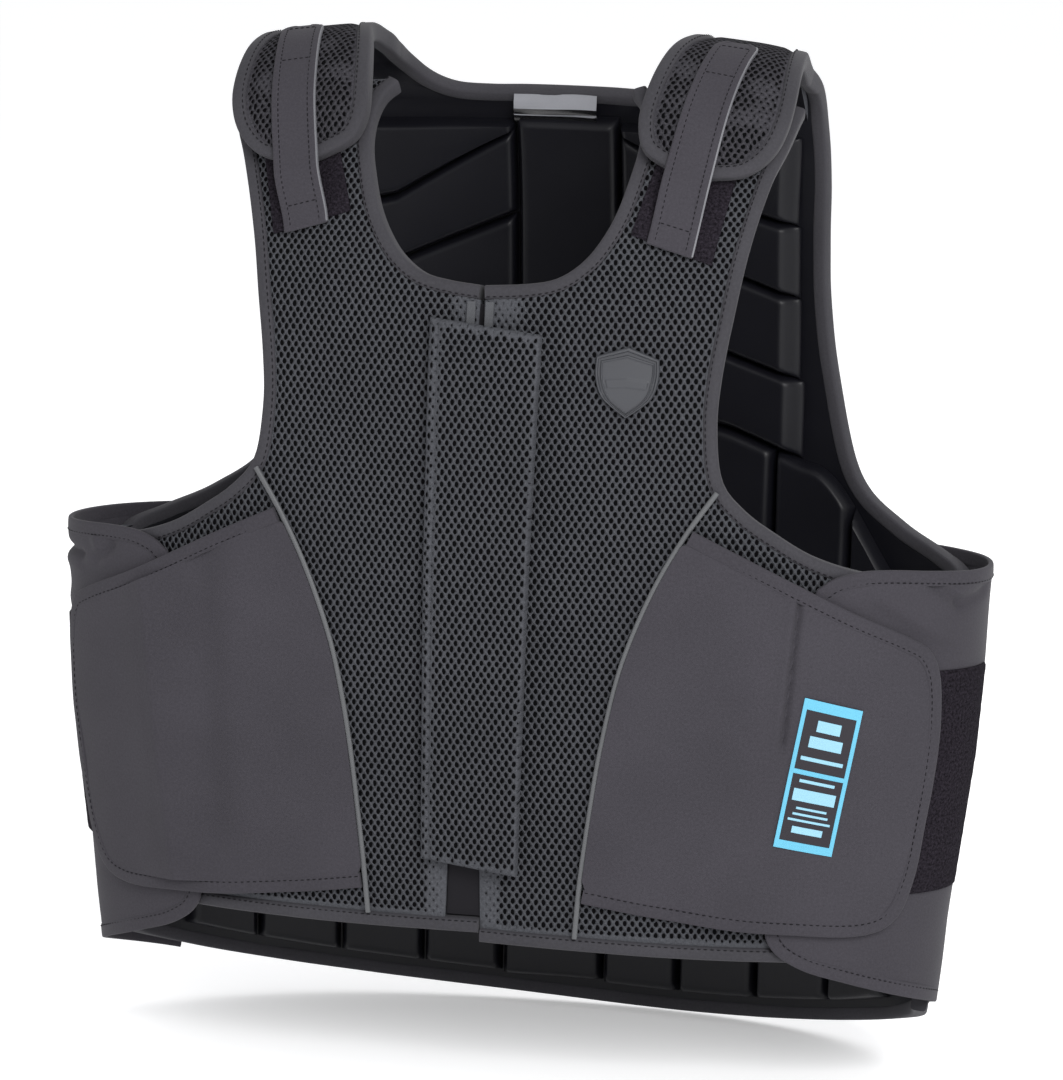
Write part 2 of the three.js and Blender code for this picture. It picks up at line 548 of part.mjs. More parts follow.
// Foam blocks inside the back: spine, slanting ribs and upright columns
const GROOVES = [
  [[0, 107], [1, 113]], [[0, 116], [0.6, 163], [1, 175]], [[0, 172], [0.6, 204], [1, 219]],
  [[0, 226], [0.6, 252], [1, 266]], [[0, 280], [0.6, 295], [1, 311]],
];
const grooveRun = (k, u) => read(GROOVES[k], (Math.abs(u) - SPINE_HALF) / 120);
const COLUMN_EDGES = [SPINE_HALF, BENDS[1], BENDS[2], BENDS[4], BENDS[6]];
const columnTop = (u) => (u < 152 ? grooveRun(4, u) : mix(311, 380, smooth(152, 230, u))) + SLIT + 1;
pad('spine_pad', 3, 10, [0.09, 0.012], (w, v) => (
  [mix(-SPINE_HALF + SLIT, SPINE_HALF - SLIT, w), mix(628, 112, v)]));
for (const [word, side] of [['left', 1], ['right', -1]]) {
  for (let k = 0; k < 4; k += 1) {
    const reach = [141, 142, 143, 146][k];
    pad(`rib_pad_${word}_${k + 1}`, 5, 3, [0.05, 0.14], (w, v) => {
      const u = mix(SPINE_HALF + SLIT, reach, w);
      const high = Math.max(grooveRun(k, u), 114) + SLIT;
      return [side * u, mix(grooveRun(k + 1, u) - SLIT, high, v)];
    });
  }
  for (let k = 0; k < 4; k += 1) {
    const [near, far] = [COLUMN_EDGES[k] + SLIT, COLUMN_EDGES[k + 1] - SLIT];
    pad(`column_pad_${word}_${k + 1}`, 3, 6, [0.1, 0.02], (w, v) => {
      const u = mix(near, far, w);
      return [side * u, mix(hemBack(side * u) - INSIDE - 4, columnTop(u), v)];
    });
  }
}

export default vest;
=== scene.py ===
# %% [markdown]
# A padded riding vest, closed and filled out as on a body.
# Each cell below makes one piece or one finish of it. The CAD frame is loaded first, because it fixes
# every size: the cloth, foam and tape modelled here lie where its plain solids lie.

# %% Load the frame
import math

import bmesh
import bpy
import numpy as np
from mathutils import Matrix, Vector


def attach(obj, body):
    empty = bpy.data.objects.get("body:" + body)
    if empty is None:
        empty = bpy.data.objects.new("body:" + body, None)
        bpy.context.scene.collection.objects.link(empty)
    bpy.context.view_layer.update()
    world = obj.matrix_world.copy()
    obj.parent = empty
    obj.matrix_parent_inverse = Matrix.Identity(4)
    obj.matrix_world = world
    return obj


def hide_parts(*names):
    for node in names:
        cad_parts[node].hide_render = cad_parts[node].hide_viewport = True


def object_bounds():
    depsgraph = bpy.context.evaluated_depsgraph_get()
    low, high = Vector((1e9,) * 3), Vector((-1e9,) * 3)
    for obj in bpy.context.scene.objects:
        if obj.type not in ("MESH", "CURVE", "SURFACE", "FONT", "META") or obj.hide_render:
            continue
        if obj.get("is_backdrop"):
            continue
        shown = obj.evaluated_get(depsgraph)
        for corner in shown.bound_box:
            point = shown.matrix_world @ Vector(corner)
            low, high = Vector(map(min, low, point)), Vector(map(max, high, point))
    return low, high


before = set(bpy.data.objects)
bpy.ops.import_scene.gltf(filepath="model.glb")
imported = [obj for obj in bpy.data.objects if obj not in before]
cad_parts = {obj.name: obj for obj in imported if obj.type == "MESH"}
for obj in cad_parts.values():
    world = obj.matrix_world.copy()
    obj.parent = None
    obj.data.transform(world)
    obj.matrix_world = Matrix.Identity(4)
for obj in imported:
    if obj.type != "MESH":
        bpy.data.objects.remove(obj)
cad_low, cad_high = (list(corner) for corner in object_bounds())
MM = 0.001
print("CAD box", cad_low, cad_high)

# %% [markdown]
# The camera stands where the photographer stood: about three metres off with a long lens, a little to
# the wearer's left and a little above. A camera turned by its own axes is easier to repeat than one that
# tracks a target, so the three axes are worked out from the angles.

# %% Camera
CAMERA_TURN = math.radians(12.8)
CAMERA_RISE = math.radians(9.2)
CAMERA_ROLL = math.radians(1.28)
CAMERA_AWAY = 3.043
CAMERA_AIM = Vector((0.004, -0.012, -0.2848))
LENS = 179.2
SENSOR = 36.0


def aim_camera():
    back = Vector((
        math.sin(CAMERA_TURN) * math.cos(CAMERA_RISE),
        -math.cos(CAMERA_TURN) * math.cos(CAMERA_RISE),
        math.sin(CAMERA_RISE),
    ))
    level = Vector((math.cos(CAMERA_TURN), math.sin(CAMERA_TURN), 0.0))
    upright = back.cross(level)
    right = level * math.cos(CAMERA_ROLL) + upright * math.sin(CAMERA_ROLL)
    top = upright * math.cos(CAMERA_ROLL) - level * math.sin(CAMERA_ROLL)
    data = bpy.data.cameras.new("Camera")
    data.lens, data.sensor_width = LENS, SENSOR
    camera = bpy.data.objects.new("Camera", data)
    turn = Matrix((right, top, back)).transposed()
    camera.matrix_world = Matrix.LocRotScale(CAMERA_AIM + CAMERA_AWAY * back, turn, None)
    bpy.context.scene.collection.objects.link(camera)
    bpy.context.scene.camera = camera
    return camera


camera = aim_camera()
print("camera at", [round(x, 3) for x in camera.location])

# %% [markdown]
# Dark cloth needs large, soft lights, or its weave turns into sparkle. One big softbox hangs high in
# front, a second fills from the wearer's right, a third rims the shoulders from behind, and a pale sky
# lifts the shadows. The floor is one pale sheet just under the hem. It glows a little, as paper lit from
# behind does, so it stays white while the sky is kept dim enough for the folds to show. The standard
# view transform keeps the blacks deep.

# %% Floor and lights
FLOOR_REACH = 40.0
SKY = (0.98, 0.985, 1.0, 1.0)
SKY_STRENGTH = 0.72
PAPER_GLOW = 0.33
SOFTBOXES = {
    "Softbox_front": dict(place=(1.5, -2.6, 1.3), size=1.5, power=100.0),
    "Softbox_side": dict(place=(-2.6, -1.7, 0.4), size=1.4, power=5.0),
    "Softbox_back": dict(place=(0.9, 2.4, 1.9), size=1.6, power=30.0),
}


def lay_floor():
    bm = bmesh.new()
    bmesh.ops.create_grid(bm, x_segments=1, y_segments=1, size=FLOOR_REACH)
    bmesh.ops.translate(bm, vec=(0, 0, cad_low[2] - 2 * MM), verts=bm.verts[:])
    mesh = bpy.data.meshes.new("Floor")
    bm.to_mesh(mesh)
    bm.free()
    floor = bpy.data.objects.new("Floor", mesh)
    bpy.context.scene.collection.objects.link(floor)
    paper = bpy.data.materials.new("Floor paper")
    paper.use_nodes = True
    shader = paper.node_tree.nodes["Principled BSDF"]
    shader.inputs["Base Color"].default_value = (0.93, 0.93, 0.935, 1)
    shader.inputs["Roughness"].default_value = 0.9
    shader.inputs["Emission Color"].default_value = (1, 1, 1, 1)
    shader.inputs["Emission Strength"].default_value = PAPER_GLOW
    mesh.materials.append(paper)
    floor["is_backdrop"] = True


def hang_softboxes():
    middle = (Vector(cad_low) + Vector(cad_high)) / 2
    for name, box in SOFTBOXES.items():
        data = bpy.data.lights.new(name, "AREA")
        data.shape, data.size, data.energy = "SQUARE", box["size"], box["power"]
        light = bpy.data.objects.new(name, data)
        light.location = box["place"]
        light.rotation_euler = (middle - light.location).to_track_quat("-Z", "Y").to_euler()
        bpy.context.scene.collection.objects.link(light)
    world = bpy.data.worlds.new("Studio")
    world.use_nodes = True
    world.node_tree.nodes["Background"].inputs["Color"].default_value = SKY
    world.node_tree.nodes["Background"].inputs["Strength"].default_value = SKY_STRENGTH
    bpy.context.scene.world = world
    bpy.context.scene.view_settings.view_transform = "Standard"


lay_floor()
hang_softboxes()
print("floor and", len(SOFTBOXES), "softboxes")

# %% [markdown]
# Every part of the vest is cut flat and then bent round a body. So each piece is drawn here as a flat
# pattern in millimetres, with two measures: across, from the centre line, and run, from the shoulder
# line down, with the front's runs negative. The body is a stack of rounded oval sections, hung on one
# centre line that climbs the back, passes over the shoulder and goes down the front.

# %% The body form
CHEST_HALF = 262
FRONT_DEEP = 116
BACK_DEEP = 119
BODY_LONG = 640
CREST_DROP = 12
CREST_DEEP = 45
SHOULDER_ARC = 196
SHOULDER_DROP = 142
ROUNDNESS = 2.15
SEAT_BACK = 12
SEAT_DOWN = 12
FRONT_LINE = [
    (-0.19, 0.03), (-0.448, 0.058), (-0.655, 0.105), (-0.81, 0.175), (-0.905, 0.258),
    (-0.966, 0.375), (-1, 0.5), (-1, 0.656), (-0.974, 0.781), (-0.948, 0.969),
]
BACK_LINE = [
    (0.387, 0.027), (0.647, 0.05), (0.824, 0.095), (0.924, 0.172), (0.983, 0.281),
    (1, 0.406), (0.975, 0.5625), (0.941, 0.719), (0.941, 0.875), (0.958, 1),
]
WIDTH_LINE = [
    (0, 0.82), (0.094, 0.87), (0.203, 0.935), (0.344, 0.992), (0.469, 1),
    (0.625, 0.977), (0.781, 0.928), (0.875, 0.905), (1, 0.893),
]
SIDE_LINE = [(0, 1), (0.094, 0.833), (0.234, 0.417), (0.39, 0), (1, 0)]


def smooth(low, high, x):
    t = np.clip((x - low) / (high - low), 0, 1)
    return t * t * (3 - 2 * t)


def mix(a, b, t):
    return a + (b - a) * t


def read(table, x):
    xs, ys = zip(*table)
    return np.interp(x, xs, ys)


def smooth_line(points, steps):
    """A smooth line through points: its length so far, and both measures, at each of its steps."""
    pts = np.array(points, float)
    pts = np.vstack([2 * pts[0] - pts[1], pts, 2 * pts[-1] - pts[-2]])
    place = np.linspace(0, len(points) - 1, steps + 1)
    k = np.minimum(place.astype(int), len(points) - 2)
    t = (place - k)[:, None]
    a, b, c, d = (pts[k + i] for i in range(4))
    out = b + 0.5 * t * (c - a + t * (2 * a - 5 * b + 4 * c - d + t * (3 * (b - c) + d - a)))
    legs = np.hypot(*np.diff(out, axis=0).T)
    return np.concatenate([[0], np.cumsum(legs)]), out[:, 0], out[:, 1]


PROFILE_STEPS = 480
profile_points = (
    [(d * FRONT_DEEP, s * BODY_LONG) for d, s in FRONT_LINE][::-1]
    + [(SEAT_BACK, CREST_DROP)]
    + [(d * BACK_DEEP, s * BODY_LONG) for d, s in BACK_LINE]
)
profile_length, profile_depth, profile_drop = smooth_line(profile_points, PROFILE_STEPS)
crest = round(PROFILE_STEPS * len(FRONT_LINE) / (len(profile_points) - 1))
from_crest = profile_length - profile_length[crest]
front_half, back_half = slice(crest, None, -1), slice(crest, None)
front_arc = -np.interp(SHOULDER_DROP, profile_drop[front_half], from_crest[front_half])
back_arc = np.interp(SHOULDER_DROP, profile_drop[back_half], from_crest[back_half])
arc = np.where(from_crest < 0, front_arc, back_arc)
run_table = np.sign(from_crest) * np.where(
    np.abs(from_crest) < arc,
    np.abs(from_crest) * SHOULDER_ARC / arc,
    np.abs(from_crest) - arc + SHOULDER_ARC,
)
print("shoulder arcs", round(front_arc, 1), round(back_arc, 1), "mm")

# %% [markdown]
# Working out a section for every vertex would be slow, so the form is measured once on a fine grid of
# runs and of lengths round the body. Any point between is read from the four grid points about it.

# %% Measure the form once
GRID = 2.0
RING_STEPS = 240


def section(run):
    """Points of one section, from the front or back centre round to the other, and the length so far."""
    def at(r, table):
        return np.interp(r, run_table, table)

    y, drop = at(run, profile_depth), at(run, profile_drop)
    slope_y = at(run + 1.5, profile_depth) - at(run - 1.5, profile_depth)
    slope_d = at(run + 1.5, profile_drop) - at(run - 1.5, profile_drop)
    side = 1 if run > 0 else -1
    lean = math.atan2(slope_y, slope_d * side) * (1 - smooth(60, 140, drop))
    half = CHEST_HALF * read(WIDTH_LINE, drop / BODY_LONG)
    middle = SEAT_BACK * read(SIDE_LINE, drop / BODY_LONG)
    near = mix(CREST_DEEP, abs(y - middle), smooth(CREST_DROP, 130, drop))
    other = back_half if run < 0 else front_half
    far = abs(np.interp(drop, profile_drop[other], profile_depth[other]) - middle)
    angle = np.linspace(0, math.pi, RING_STEPS + 1)
    across = half * np.abs(np.sin(angle)) ** (2 / ROUNDNESS)
    along = np.abs(np.cos(angle)) ** (2 / ROUNDNESS)
    sag = np.where(angle <= math.pi / 2, near * (1 - along), near + far * along)
    points = np.stack([across, y - math.cos(lean) * side * sag, -drop - math.sin(lean) * sag], axis=1)
    legs = np.linalg.norm(np.diff(points, axis=0), axis=1)
    return points, np.concatenate([[0], np.cumsum(legs)])


form_runs = np.arange(-626.0, 660.0, GRID)
GIRTH_MOST = 640.0
form_across = np.arange(0.0, GIRTH_MOST + GRID, GRID)
form_grid = np.zeros((len(form_runs), len(form_across), 3))
half_girths = np.zeros(len(form_runs))
for row, run_here in enumerate(form_runs):
    ring_points, ring_length = section(run_here)
    half_girths[row] = ring_length[-1]
    for axis in range(3):
        form_grid[row, :, axis] = np.interp(form_across, ring_length, ring_points[:, axis])
print("form measured at", form_grid.shape[0] * form_grid.shape[1], "points")


def half_girth(run):
    return np.interp(run, form_runs, half_girths)


def form(u, run):
    row = np.clip((run - form_runs[0]) / GRID, 0, len(form_runs) - 1.001)
    col = np.clip(np.abs(u) / GRID, 0, len(form_across) - 1.001)
    i, j = row.astype(int), col.astype(int)
    s, t = (row - i)[:, None], (col - j)[:, None]
    near = mix(form_grid[i, j], form_grid[i, j + 1], t)
    far = mix(form_grid[i + 1, j], form_grid[i + 1, j + 1], t)
    point = mix(near, far, s)
    point[:, 0] *= np.where(u < 0, -1, 1)
    return point


def skin(u, run, h):
    """Points in metres, lifted off the form by h millimetres."""
    u, run, h = (np.atleast_1d(np.asarray(x, float)) for x in np.broadcast_arrays(u, run, h))
    step = 3.0
    across = form(u + step, run) - form(u - step, run)
    along = form(u, run + step) - form(u, run - step)
    normal = np.cross(across, along)
    normal /= np.linalg.norm(normal, axis=1, keepdims=True)
    return (form(u, run) + normal * h[:, None] + np.array([0, -SEAT_BACK, SEAT_DOWN])) * MM


# %% [markdown]
# A pattern piece has edges. Each edge is a smooth line through a few points, read by its share of
# length, and an inset line runs beside it at a fixed distance, as a seam allowance does.

# %% Pattern lines
def line(points):
    length, u, run = smooth_line(points, 96)
    share = length / length[-1]
    return lambda t: np.stack([np.interp(t, share, u), np.interp(t, share, run)])


def inset(path, width):
    """The same line moved sideways in the pattern: a positive width goes to its left."""
    def moved(t):
        t = np.asarray(t, float)
        a, b = path(np.clip(t - 0.01, 0, 1)), path(np.clip(t + 0.01, 0, 1))
        size = np.hypot(b[0] - a[0], b[1] - a[1])
        u, run = path(t)
        return np.stack([u - (b[1] - a[1]) / size * width, run + (b[0] - a[0]) / size * width])
    return moved


def mirrored(path, side):
    def turned(t):
        u, run = path(t)
        return np.stack([u * side, run])
    return turned


def lengths_along(path):
    """Shares along a pattern line, and the line's length up to each of them."""
    shares = np.linspace(0, 1, 200)
    legs = np.hypot(*np.diff(path(shares)))
    return shares, np.concatenate([[0], np.cumsum(legs)])


FRONT_THICK = 15
SHOULDER_THICK = 9
SLAB_THICK = 8
PAD_THICK = 11.5
PAD_GAP = 0.65
WING_LIFT = 2
FLAP_HIGH = 6.8
CLOTH = 2.6
TAPE_WIDE = 8.5
TAPE_RISE = 0.6
GAP = 0.35
INSIDE = TAPE_WIDE + GAP
TUCKED = TAPE_WIDE - 1.2
FRONT_HEM = 557
BACK_HEM = 640
ARM_LOW = 352
SIDE_FRONT = 250
SIDE_BACK = 290
NECK_FRONT = 195
NECK_BACK = 91
FLAP_END = 128.5
FLAP_THICK = 10.6
FLAP_LIFT = 14
FLAP_TAPER = 3.6
STRAP_WIDE = 25
STRAP_THICK = 2.1
SPINE_HALF = 31
TILT = 2.5
HEM_TILT = 7


def neck_front_from(start):
    return line([
        (start, -NECK_FRONT), (22, -193), (38, -189), (51, -179), (60, -166), (67, -150),
        (72, -130), (75, -112), (75, -95), (72, -80), (66, -70),
    ])


arm_front = line([
    (162, -68), (157, -98), (150, -124), (142, -165), (136, -203), (130.5, -240), (129, -268),
    (133, -297), (146, -313), (163, -325), (186, -338), (215, -347), (SIDE_FRONT, -ARM_LOW),
])
neck_back = line([
    (0, NECK_BACK), (24, NECK_BACK), (46, NECK_BACK + 0.5), (66, 89), (80, 79), (88, 62), (90, 40),
])


def shoulder_rim_for(lean):
    return line([
        (90, 40), (88.5 + lean * 0.2, 26), (86.5 + lean * 0.7, 8), (81 + lean * 1.3, -18),
        (76 + lean, -48), (72.5 + lean * 0.7, -78), (70.5 + lean * 0.7, -99), (73 + lean, -115),
        (84 + lean * 1.4, -124), (98 + lean, -FLAP_END), (118, -FLAP_END), (136, -124), (149, -110),
        (155, -92), (156.5, -70), (155.5, -46), (154, -20), (152, 10), (151, 40),
    ])


shoulder_rims = {"left": shoulder_rim_for(6), "right": shoulder_rim_for(8)}
ARM_BACK = [
    (151, 40), (153, 64), (154, 100), (157, 147), (158, 213), (166, 268), (182, 318), (211, 340),
]
arm_back = line(ARM_BACK + [(246, 352.5), (SIDE_BACK, ARM_LOW + 4)])
arm_back_tape = line(ARM_BACK + [(243, 352), (268, ARM_LOW + 8), (SIDE_BACK - 4, ARM_LOW + 24)])
PIPING_FOOT = 58.5


def piping_to(end):
    return line([
        (130, -303), (115, -325), (100, -352), (88, -380), (79, -408), (71, -447), (65.5, -485),
        (61, -522), (PIPING_FOOT, end),
    ])


piping_line = piping_to(-FRONT_HEM + TAPE_WIDE + TILT + 2)


def flap_rim_for(far):
    return line([
        (118, -324), (147, -338), (177, -353), (207 + far * 0.2, -368), (238 + far * 0.7, -382),
        (251 + far, -391), (258 + far, -410), (258 + far, -445), (251.5 + far * 0.8, -492),
        (245 + far * 0.5, -522), (234 + far * 0.2, -542), (214, -549), (176, -547), (138, -544),
        (98, -539), (62, -533),
    ])


flap_rims = {"left": flap_rim_for(0), "right": flap_rim_for(9)}
WING_BACK = 228
wing_rim = line([
    (half_girth(-352) - WING_BACK, -352), (300, -350), (256, -347), (226, -345), (206, -346),
    (189, -353), (183, -370), (172, -480), (163, -538), (166, -556), (182, -568), (206, -576.5),
    (236, -586), (280, -599), (half_girth(-614) - WING_BACK, -617),
])


def front_faces(u, run):
    return 0 * u, -mix(SHOULDER_THICK, FRONT_THICK, smooth(110, 240, -run))


def back_faces(u, run):
    return 0 * u, 0 * u - SLAB_THICK


def shoulder_faces(u, run):
    taper = FLAP_TAPER * smooth(-85, -FLAP_END, run)
    top = FLAP_LIFT * (1 - smooth(-55, 45, run)) - taper + 0 * u
    return top, top - mix(FLAP_THICK, SLAB_THICK, smooth(20, 90, run)) + taper * 0.9


def wing_faces(u, run):
    return 0 * u + WING_LIFT + CLOTH, 0 * u + WING_LIFT


def flap_faces(u, run):
    inner = mix(0.9, FLAP_HIGH, smooth(105, 158, np.abs(u)))
    return inner + CLOTH, inner


def hem_front(side, u):
    return -FRONT_HEM - side * TILT - np.abs(u) * (6 if side > 0 else 2) / 170


def hem_back(u):
    return BACK_HEM + 1 - 38 * (np.abs(u) / 281) ** 2.6 + HEM_TILT * np.tanh(u / 140)


print("pattern lines drawn, shoulder rims for", list(shoulder_rims))

# %% [markdown]
# Node trees are long to write by hand. This small helper adds one node, sets its options, and links or
# sets its inputs in order, so that a material below reads as a list of steps.

# %% A helper for node trees
def builder(tree):
    def add(kind, *inputs, **options):
        node = tree.nodes.new("ShaderNode" + kind)
        for key, value in options.items():
            setattr(node, key, value)
        live = [s for s in node.inputs if s.enabled]
        for socket, value in zip(live, inputs):
            if isinstance(value, bpy.types.NodeSocket):
                tree.links.new(value, socket)
            elif value is not None:
                socket.default_value = value
        return node
    return add


def first(node):
    return next(s for s in node.outputs if s.enabled)


def new_group(name, inputs, outputs):
    tree = bpy.data.node_groups.new(name, "ShaderNodeTree")
    for label, kind, value in inputs:
        socket = tree.interface.new_socket(label, in_out="INPUT", socket_type="NodeSocket" + kind)
        if value is not None:
            socket.default_value = value
    for label, kind in outputs:
        tree.interface.new_socket(label, in_out="OUTPUT", socket_type="NodeSocket" + kind)
    return tree, tree.nodes.new("NodeGroupInput").outputs, tree.nodes.new("NodeGroupOutput").inputs


def srgb(r, g, b):
    """A colour as it looks on screen, from 0 to 255, in the linear values that the renderer adds up."""
    parts = [c / 255 for c in (r, g, b)]
    return tuple(c / 12.92 if c <= 0.04045 else ((c + 0.055) / 1.055) ** 2.4 for c in parts) + (1.0,)


# %% [markdown]
# Spacer mesh is a thick knit with rows of oval holes, each row set half a hole along from the last. Two
# square lattices, one shifted by half a cell, give just that, and the nearer hole wins. The group reads
# the pattern's own map, so the rows bend with the cloth. A little noise pushes the holes about, because
# a knit is never quite even, and a mask closes them where a seam presses the cloth flat.

# %% Shader group: the knit's holes
def knit_holes():
    tree, given, out = new_group(
        "Knit holes",
        [("Vector", "Vector", None), ("Pressed", "Float", 0.0), ("Across", "Float", 0.0043),
         ("Along", "Float", 0.0064), ("Hole", "Float", 0.27), ("Ragged", "Float", 0.12)],
        [("Hole", "Float"), ("Height", "Float")],
    )
    add = builder(tree)
    cell = first(add("CombineXYZ", given["Across"], given["Along"], 1.0))
    even = first(add("VectorMath", given["Vector"], cell, operation="DIVIDE"))
    noise = add("TexNoise", given["Vector"], 330.0, 1.0, 0.5)
    push = first(add("VectorMath", noise.outputs["Color"], (0.5, 0.5, 0.5), operation="SUBTRACT"))
    push = add("VectorMath", push, operation="SCALE")
    tree.links.new(given["Ragged"], push.inputs["Scale"])
    scaled = first(add("VectorMath", even, first(push), operation="ADD"))
    distances = []
    for shift in (0.0, 0.5):
        moved = first(add("VectorMath", scaled, (shift, shift, 0), operation="ADD"))
        inside = first(add("VectorMath", moved, operation="FRACTION"))
        centred = first(add("VectorMath", inside, (0.5, 0.5, 0), operation="SUBTRACT"))
        flat = first(add("VectorMath", centred, (1, 1, 0), operation="MULTIPLY"))
        distances.append(add("VectorMath", flat, operation="LENGTH").outputs["Value"])
    nearest = first(add("Math", *distances, operation="MINIMUM"))
    closing = first(add("Math", given["Pressed"], 0.4, operation="MULTIPLY"))
    nearest = first(add("Math", nearest, closing, operation="ADD"))
    edge_in = first(add("Math", given["Hole"], 0.05, operation="SUBTRACT"))
    edge_out = first(add("Math", given["Hole"], 0.03, operation="ADD"))
    hole = add("MapRange", nearest, edge_in, edge_out, 1.0, 0.0, interpolation_type="SMOOTHSTEP")
    height = add("MapRange", nearest, edge_in, 0.46, 0.0, 1.0, interpolation_type="SMOOTHSTEP")
    tree.links.new(hole.outputs["Result"], out["Hole"])
    tree.links.new(height.outputs["Result"], out["Height"])
    return tree


# %% [markdown]
# All the cloths share two smaller effects. Grain is the fine crossing of threads, with some threads
# thicker than others. Wear is the slow change over a hand's width that use, dust and handling leave.

# %% Shader groups: grain and wear
def cloth_grain():
    tree, given, out = new_group(
        "Cloth grain",
        [("Vector", "Vector", None), ("Thread", "Float", 0.0008), ("Uneven", "Float", 0.5)],
        [("Shade", "Float"), ("Height", "Float")],
    )
    add = builder(tree)
    rate = first(add("Math", 1.0, given["Thread"], operation="DIVIDE"))
    noise = add("TexNoise", given["Vector"], rate, 2.0, 0.6)
    turns = first(add("Math", rate, 2 * math.pi, operation="MULTIPLY"))
    scaled = first(add("VectorMath", given["Vector"], turns, operation="MULTIPLY"))
    parts = add("SeparateXYZ", scaled)
    warp = first(add("Math", parts.outputs["X"], operation="SINE"))
    weft = first(add("Math", parts.outputs["Y"], operation="SINE"))
    crossing = first(add("Math", warp, weft, operation="MULTIPLY"))
    even = first(add("MapRange", crossing, -1.0, 1.0, 0.0, 1.0))
    mixed = first(add("Mix", given["Uneven"], even, noise.outputs[0], data_type="FLOAT"))
    shade = first(add("MapRange", mixed, 0.2, 0.8, 0.82, 1.16))
    tree.links.new(shade, out["Shade"])
    tree.links.new(mixed, out["Height"])
    return tree


def cloth_wear():
    tree, given, out = new_group(
        "Cloth wear",
        [("Vector", "Vector", None), ("Patch", "Float", 0.06), ("Amount", "Float", 0.12)],
        [("Shade", "Float")],
    )
    add = builder(tree)
    rate = first(add("Math", 1.0, given["Patch"], operation="DIVIDE"))
    noise = add("TexNoise", given["Vector"], rate, 4.0, 0.55)
    low = first(add("Math", 1.0, given["Amount"], operation="SUBTRACT"))
    high = first(add("Math", 1.0, given["Amount"], operation="ADD"))
    shade = first(add("MapRange", noise.outputs[0], 0.3, 0.7, low, high))
    tree.links.new(shade, out["Shade"])
    return tree


HOLES, GRAIN, WEAR = knit_holes(), cloth_grain(), cloth_wear()
PATTERN_MAP = "Pattern"
PRESSED = "Pressed"
print("shader groups:", [g.name for g in (HOLES, GRAIN, WEAR)])

# %% [markdown]
# Each finish is one Principled shader with the shared groups plugged in. The colour comes from one
# value times the shade of the grain and the wear, and the same grain lifts a Bump, so light and colour
# agree. The finish keeps its own roughness and sheen.

# %% Finishes
def cloth(name, colour, roughness, thread, bump, uneven=0.5, wear=0.1, sheen=0.0, gloss=0.3,
          holes=None, pile=0.0):
    material = bpy.data.materials.new(name)
    material.use_nodes = True
    tree = material.node_tree
    add = builder(tree)
    shader = tree.nodes["Principled BSDF"]
    shader.inputs["Roughness"].default_value = roughness
    shader.inputs["Sheen Weight"].default_value = sheen
    shader.inputs["Specular IOR Level"].default_value = gloss
    where = add("UVMap", uv_map=PATTERN_MAP).outputs["UV"]

    def effect(group, **values):
        node = add("Group", node_tree=group)
        tree.links.new(where, node.inputs["Vector"])
        for key, value in values.items():
            node.inputs[key].default_value = value
        return node

    grain = effect(GRAIN, Thread=thread, Uneven=uneven)
    shades = [grain.outputs["Shade"], effect(WEAR, Amount=wear).outputs["Shade"]]
    if pile:
        shades.append(effect(WEAR, Patch=PILE_SIZE, Amount=pile).outputs["Shade"])
    shade = shades[0]
    for other in shades[1:]:
        shade = first(add("Math", shade, other, operation="MULTIPLY"))
    tint = first(add("VectorMath", colour[:3], shade, operation="MULTIPLY"))
    height = grain.outputs["Height"]
    if holes:
        knit = effect(HOLES, **holes)
        pressed = add("Attribute", attribute_name=PRESSED, attribute_type="GEOMETRY")
        tree.links.new(pressed.outputs["Fac"], knit.inputs["Pressed"])
        # Holes take a near-black colour: the dark layer under the knit, with painted shade of each hole's
        # depth.
        dark = add("Mix", knit.outputs["Hole"], data_type="RGBA")
        tree.links.new(tint, dark.inputs[6])
        dark.inputs[7].default_value = HOLE_LAYER_AND_SHADE_COLOUR
        tint = dark.outputs[2]
        small = first(add("Math", height, 0.16, operation="MULTIPLY"))
        height = first(add("Math", knit.outputs["Height"], small, operation="ADD"))
    tree.links.new(tint, shader.inputs["Base Color"])
    raised = add("Bump")
    raised.inputs["Strength"].default_value = 0.8
    raised.inputs["Distance"].default_value = bump
    tree.links.new(height, raised.inputs["Height"])
    tree.links.new(raised.outputs["Normal"], shader.inputs["Normal"])
    return material
